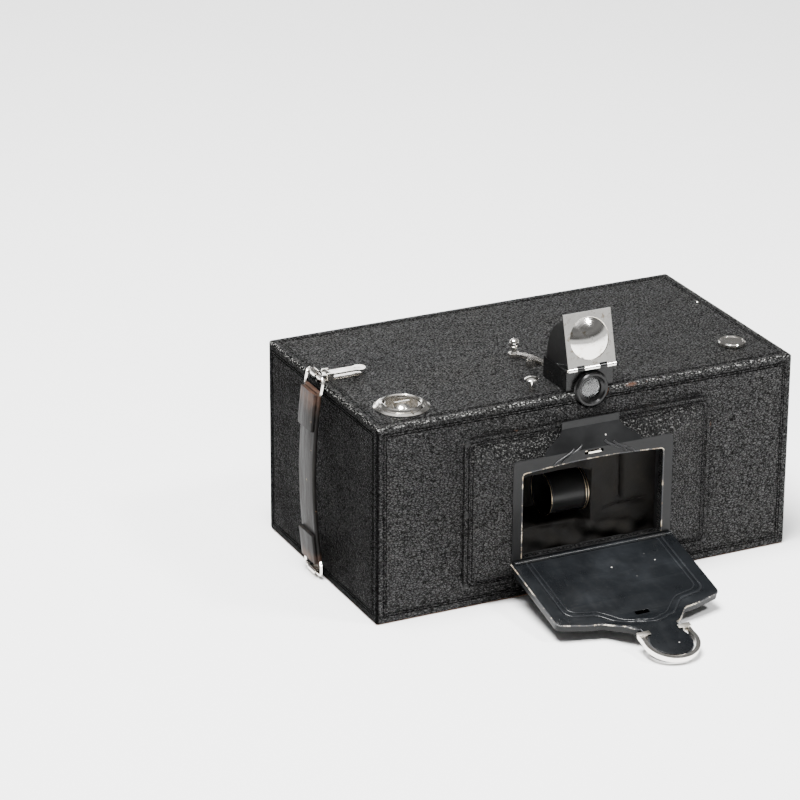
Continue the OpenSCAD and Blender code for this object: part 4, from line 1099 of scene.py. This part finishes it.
def apron_depth(x, z):
    """The sheet's Y at a place in the opening, all in millimetres."""
    y = APRON_FRONT + (5.6 * ease((x + 44) / 14) * ease((z - 24) / 11)
                       * (1 - ease((z - 72) / 10)) * (1 - ease((x + 2) / 7)))
    # The pocket that the lens lies in.
    left = ease((x + 39.5) / 3)
    right = 1 - ease((x - 4.0) / 2.2)
    low = ease((z - 36) / 1.8)
    high = 1 - ease((z - 67.2) / 1.8)
    y += POCKET_DEPTH * left * right * min(low, high)
    # An upright crease and a level one right of the pocket.
    y += 2.6 * math.exp(-((x - 26) / 0.9) ** 2) * ease((z - 44) / 5)
    y += (2.2 * math.exp(-((z - 42 - 0.06 * (x - 20)) / 1.6) ** 2)
          * ease((x - 12) / 8) * (1 - ease((x - 40) / 6)))
    # Waves along the foot, and a slight one all over.
    lower = 1 - ease((z - 33) / 3)
    y += 1.1 * math.sin(0.16 * x + 0.5 * z) * lower
    y += 0.8 * math.sin(0.37 * x - 0.3 * z + 1.0) * lower
    y += 0.5 * math.sin(0.22 * x + 0.9) * math.sin(0.17 * z)
    return y + 1.6 * ease((x - 12) / 12) * (1 - ease((x - 25) / 1.5)) * ease((z - 40) / 8)


def make_apron():
    """The light trap: one folded sheet of soft leather, as big as the apron part's box."""
    low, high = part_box("lens_apron")
    points, faces = grid_sheet(high.x - low.x, high.z - low.z, 110, 72)
    middle = (low.z + high.z) / 2
    placed = [(x, apron_depth(x / MM, (y + middle) / MM) * MM, y + middle) for x, y, _ in points]
    apron = mesh_object("apron_folds", placed, faces)
    thick = apron.modifiers.new("skin", "SOLIDIFY")
    thick.thickness = 0.8 * MM
    thick.offset = 0
    apply_modifiers(apron)
    smooth(apron, 60)
    dress(apron, "camera_body", "soft_leather", soft_leather(), "lens_apron")


# ---- Strap ----

STRAP_STEPS = 24
STRAP_GAP, STRAP_BOW = 1.2, 3.6
LAP_OFF, LAP_IN, LAP_STATIONS = 2.4 * MM, 1 * MM, 5


def strap_line(low, high):
    """The strap's middle line in X and Z: it bows out from the end between foot and top."""
    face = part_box("leather_covering")[0].x
    points = []
    for i in range(STRAP_STEPS + 1):
        t = i / STRAP_STEPS
        x = face - (STRAP_GAP + STRAP_BOW * math.sin(math.pi * t)) * MM - 1.5 * MM
        points.append((x, low.z + (high.z - low.z) * t))
    return points


def band(name, line, y_mid, half_width, thickness):
    """A flat strip with rounded edges that follows a line in X and Z."""
    rings = []
    count = len(line)
    for i, (x, z) in enumerate(line):
        before, after = line[max(i - 1, 0)], line[min(i + 1, count - 1)]
        run = Vector((after[0] - before[0], after[1] - before[1])).normalized()
        out = Vector((run.y, -run.x))
        ring = []
        section = rounded_rect(-half_width, -thickness / 2, half_width, thickness / 2,
                               thickness * 0.4, 4)
        for u, v in section:
            crown = 0.12 * thickness * (1 - (u / half_width) ** 2) * (1 if v > 0 else -1)
            ring.append((x + out.x * (v + crown), y_mid + u, z + out.y * (v + crown)))
        rings.append(ring)
    piece = loft(name, rings, True)
    weld(piece)
    return smooth(piece, 50)


def make_strap():
    """The side strap, with its ends folded back over themselves."""
    low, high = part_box("strap")
    y_mid = (low.y + high.y) / 2
    line = strap_line(low, high)
    parts = [band("strap_band", line, y_mid, 10 * MM, 2.6 * MM)]
    for name, stations, inwards in (("lap_top", line[-LAP_STATIONS - 1:], -LAP_IN),
                                    ("lap_low", line[:LAP_STATIONS], LAP_IN)):
        fold = [(x - LAP_OFF, z + inwards) for x, z in stations]
        parts.append(band(name, fold, y_mid, 9.6 * MM, 2.2 * MM))
    strap = join("hand_strap", parts)
    dress(strap, "camera_body", "strap_leather", strap_leather(low, high), "strap")


# ---- Finish of the CAD nodes ----

def finish_nodes():
    """Gives each CAD node that shows as it is its finish."""
    looks = {
        stained_wood(): ["front_board"],
        wood(): ["top_board", "back_board", "left_end_board", "right_end_board",
                 "mechanism_plate"],
        enamel("frame_enamel", (0.0075, 0.0077, 0.008), 0.6, 0.3): ["door_frame"],
        enamel("pan_enamel", (0.005, 0.0056, 0.006), 0.6, 0.3): ["front_door"],
        plated("nickel", (0.86, 0.83, 0.78), 0.05, 0.5): [
            "pull_loop", "winding_key", "winder_escutcheon", "supply_knob", "tension_lever",
            "lever_knob", "lever_stops", "strap_rings", "strap_hook", "clip_base", "clip_lever",
            "release_button", "top_pin", "window_ring"],
        plated("nickel_worn", (0.82, 0.77, 0.68), 0.16, 0.8): [
            "pull_lugs", "door_hinge_pin", "door_catch", "finder_hinge_pin"],
        plated("nickel_lid", (0.82, 0.8, 0.76), 0.045, 0.95): ["finder_lid"],
        plated("old_brass", (0.72, 0.52, 0.26), 0.25, 0.7): [
            "lower_pivot_bracket", "latch_bracket", "release_latch"],
        plated("steel", (0.6, 0.6, 0.6), 0.25, 0.5): [
            "spool_brackets", "drive_spring", "button_spring", "lid_hinge", "lid_catch_spring"],
        blackened("blackened_brass", 0.34, 0.006): [
            "lens_carrier", "lens_barrel", "lens_cell", "aperture_stop", "exposure_funnel",
            "film_track", "panel_screws", "take_up_spool", "supply_spool", "finder_wings"],
        blackened("black_lacquer", 0.16, 0.005): ["finder_housing", "finder_bezel"],
        glass("finder_glass", (0.93, 0.95, 0.95), 0.03): ["finder_front_lens", "finder_top_lens"],
        glass("lens_glass", (0.9, 0.93, 0.95), 0.02): ["front_lens", "rear_lens"],
        glass("ruby_glass", (0.6, 0.03, 0.02), 0.05): ["red_window"],
        mirror(): ["finder_mirror"],
        soft_leather(): ["swing_buffers"],
        lid_leather(): ["loading_lid"],
    }
    for material, names in looks.items():
        for name in names:
            for slot in nodes[name].material_slots:
                slot.material = material


make_camera()
make_studio()
make_covering()
make_panel()
make_frame_trim()
make_door()
make_lug_straps()
make_barrel_rings()
make_apron()
make_strap()
finish_nodes()
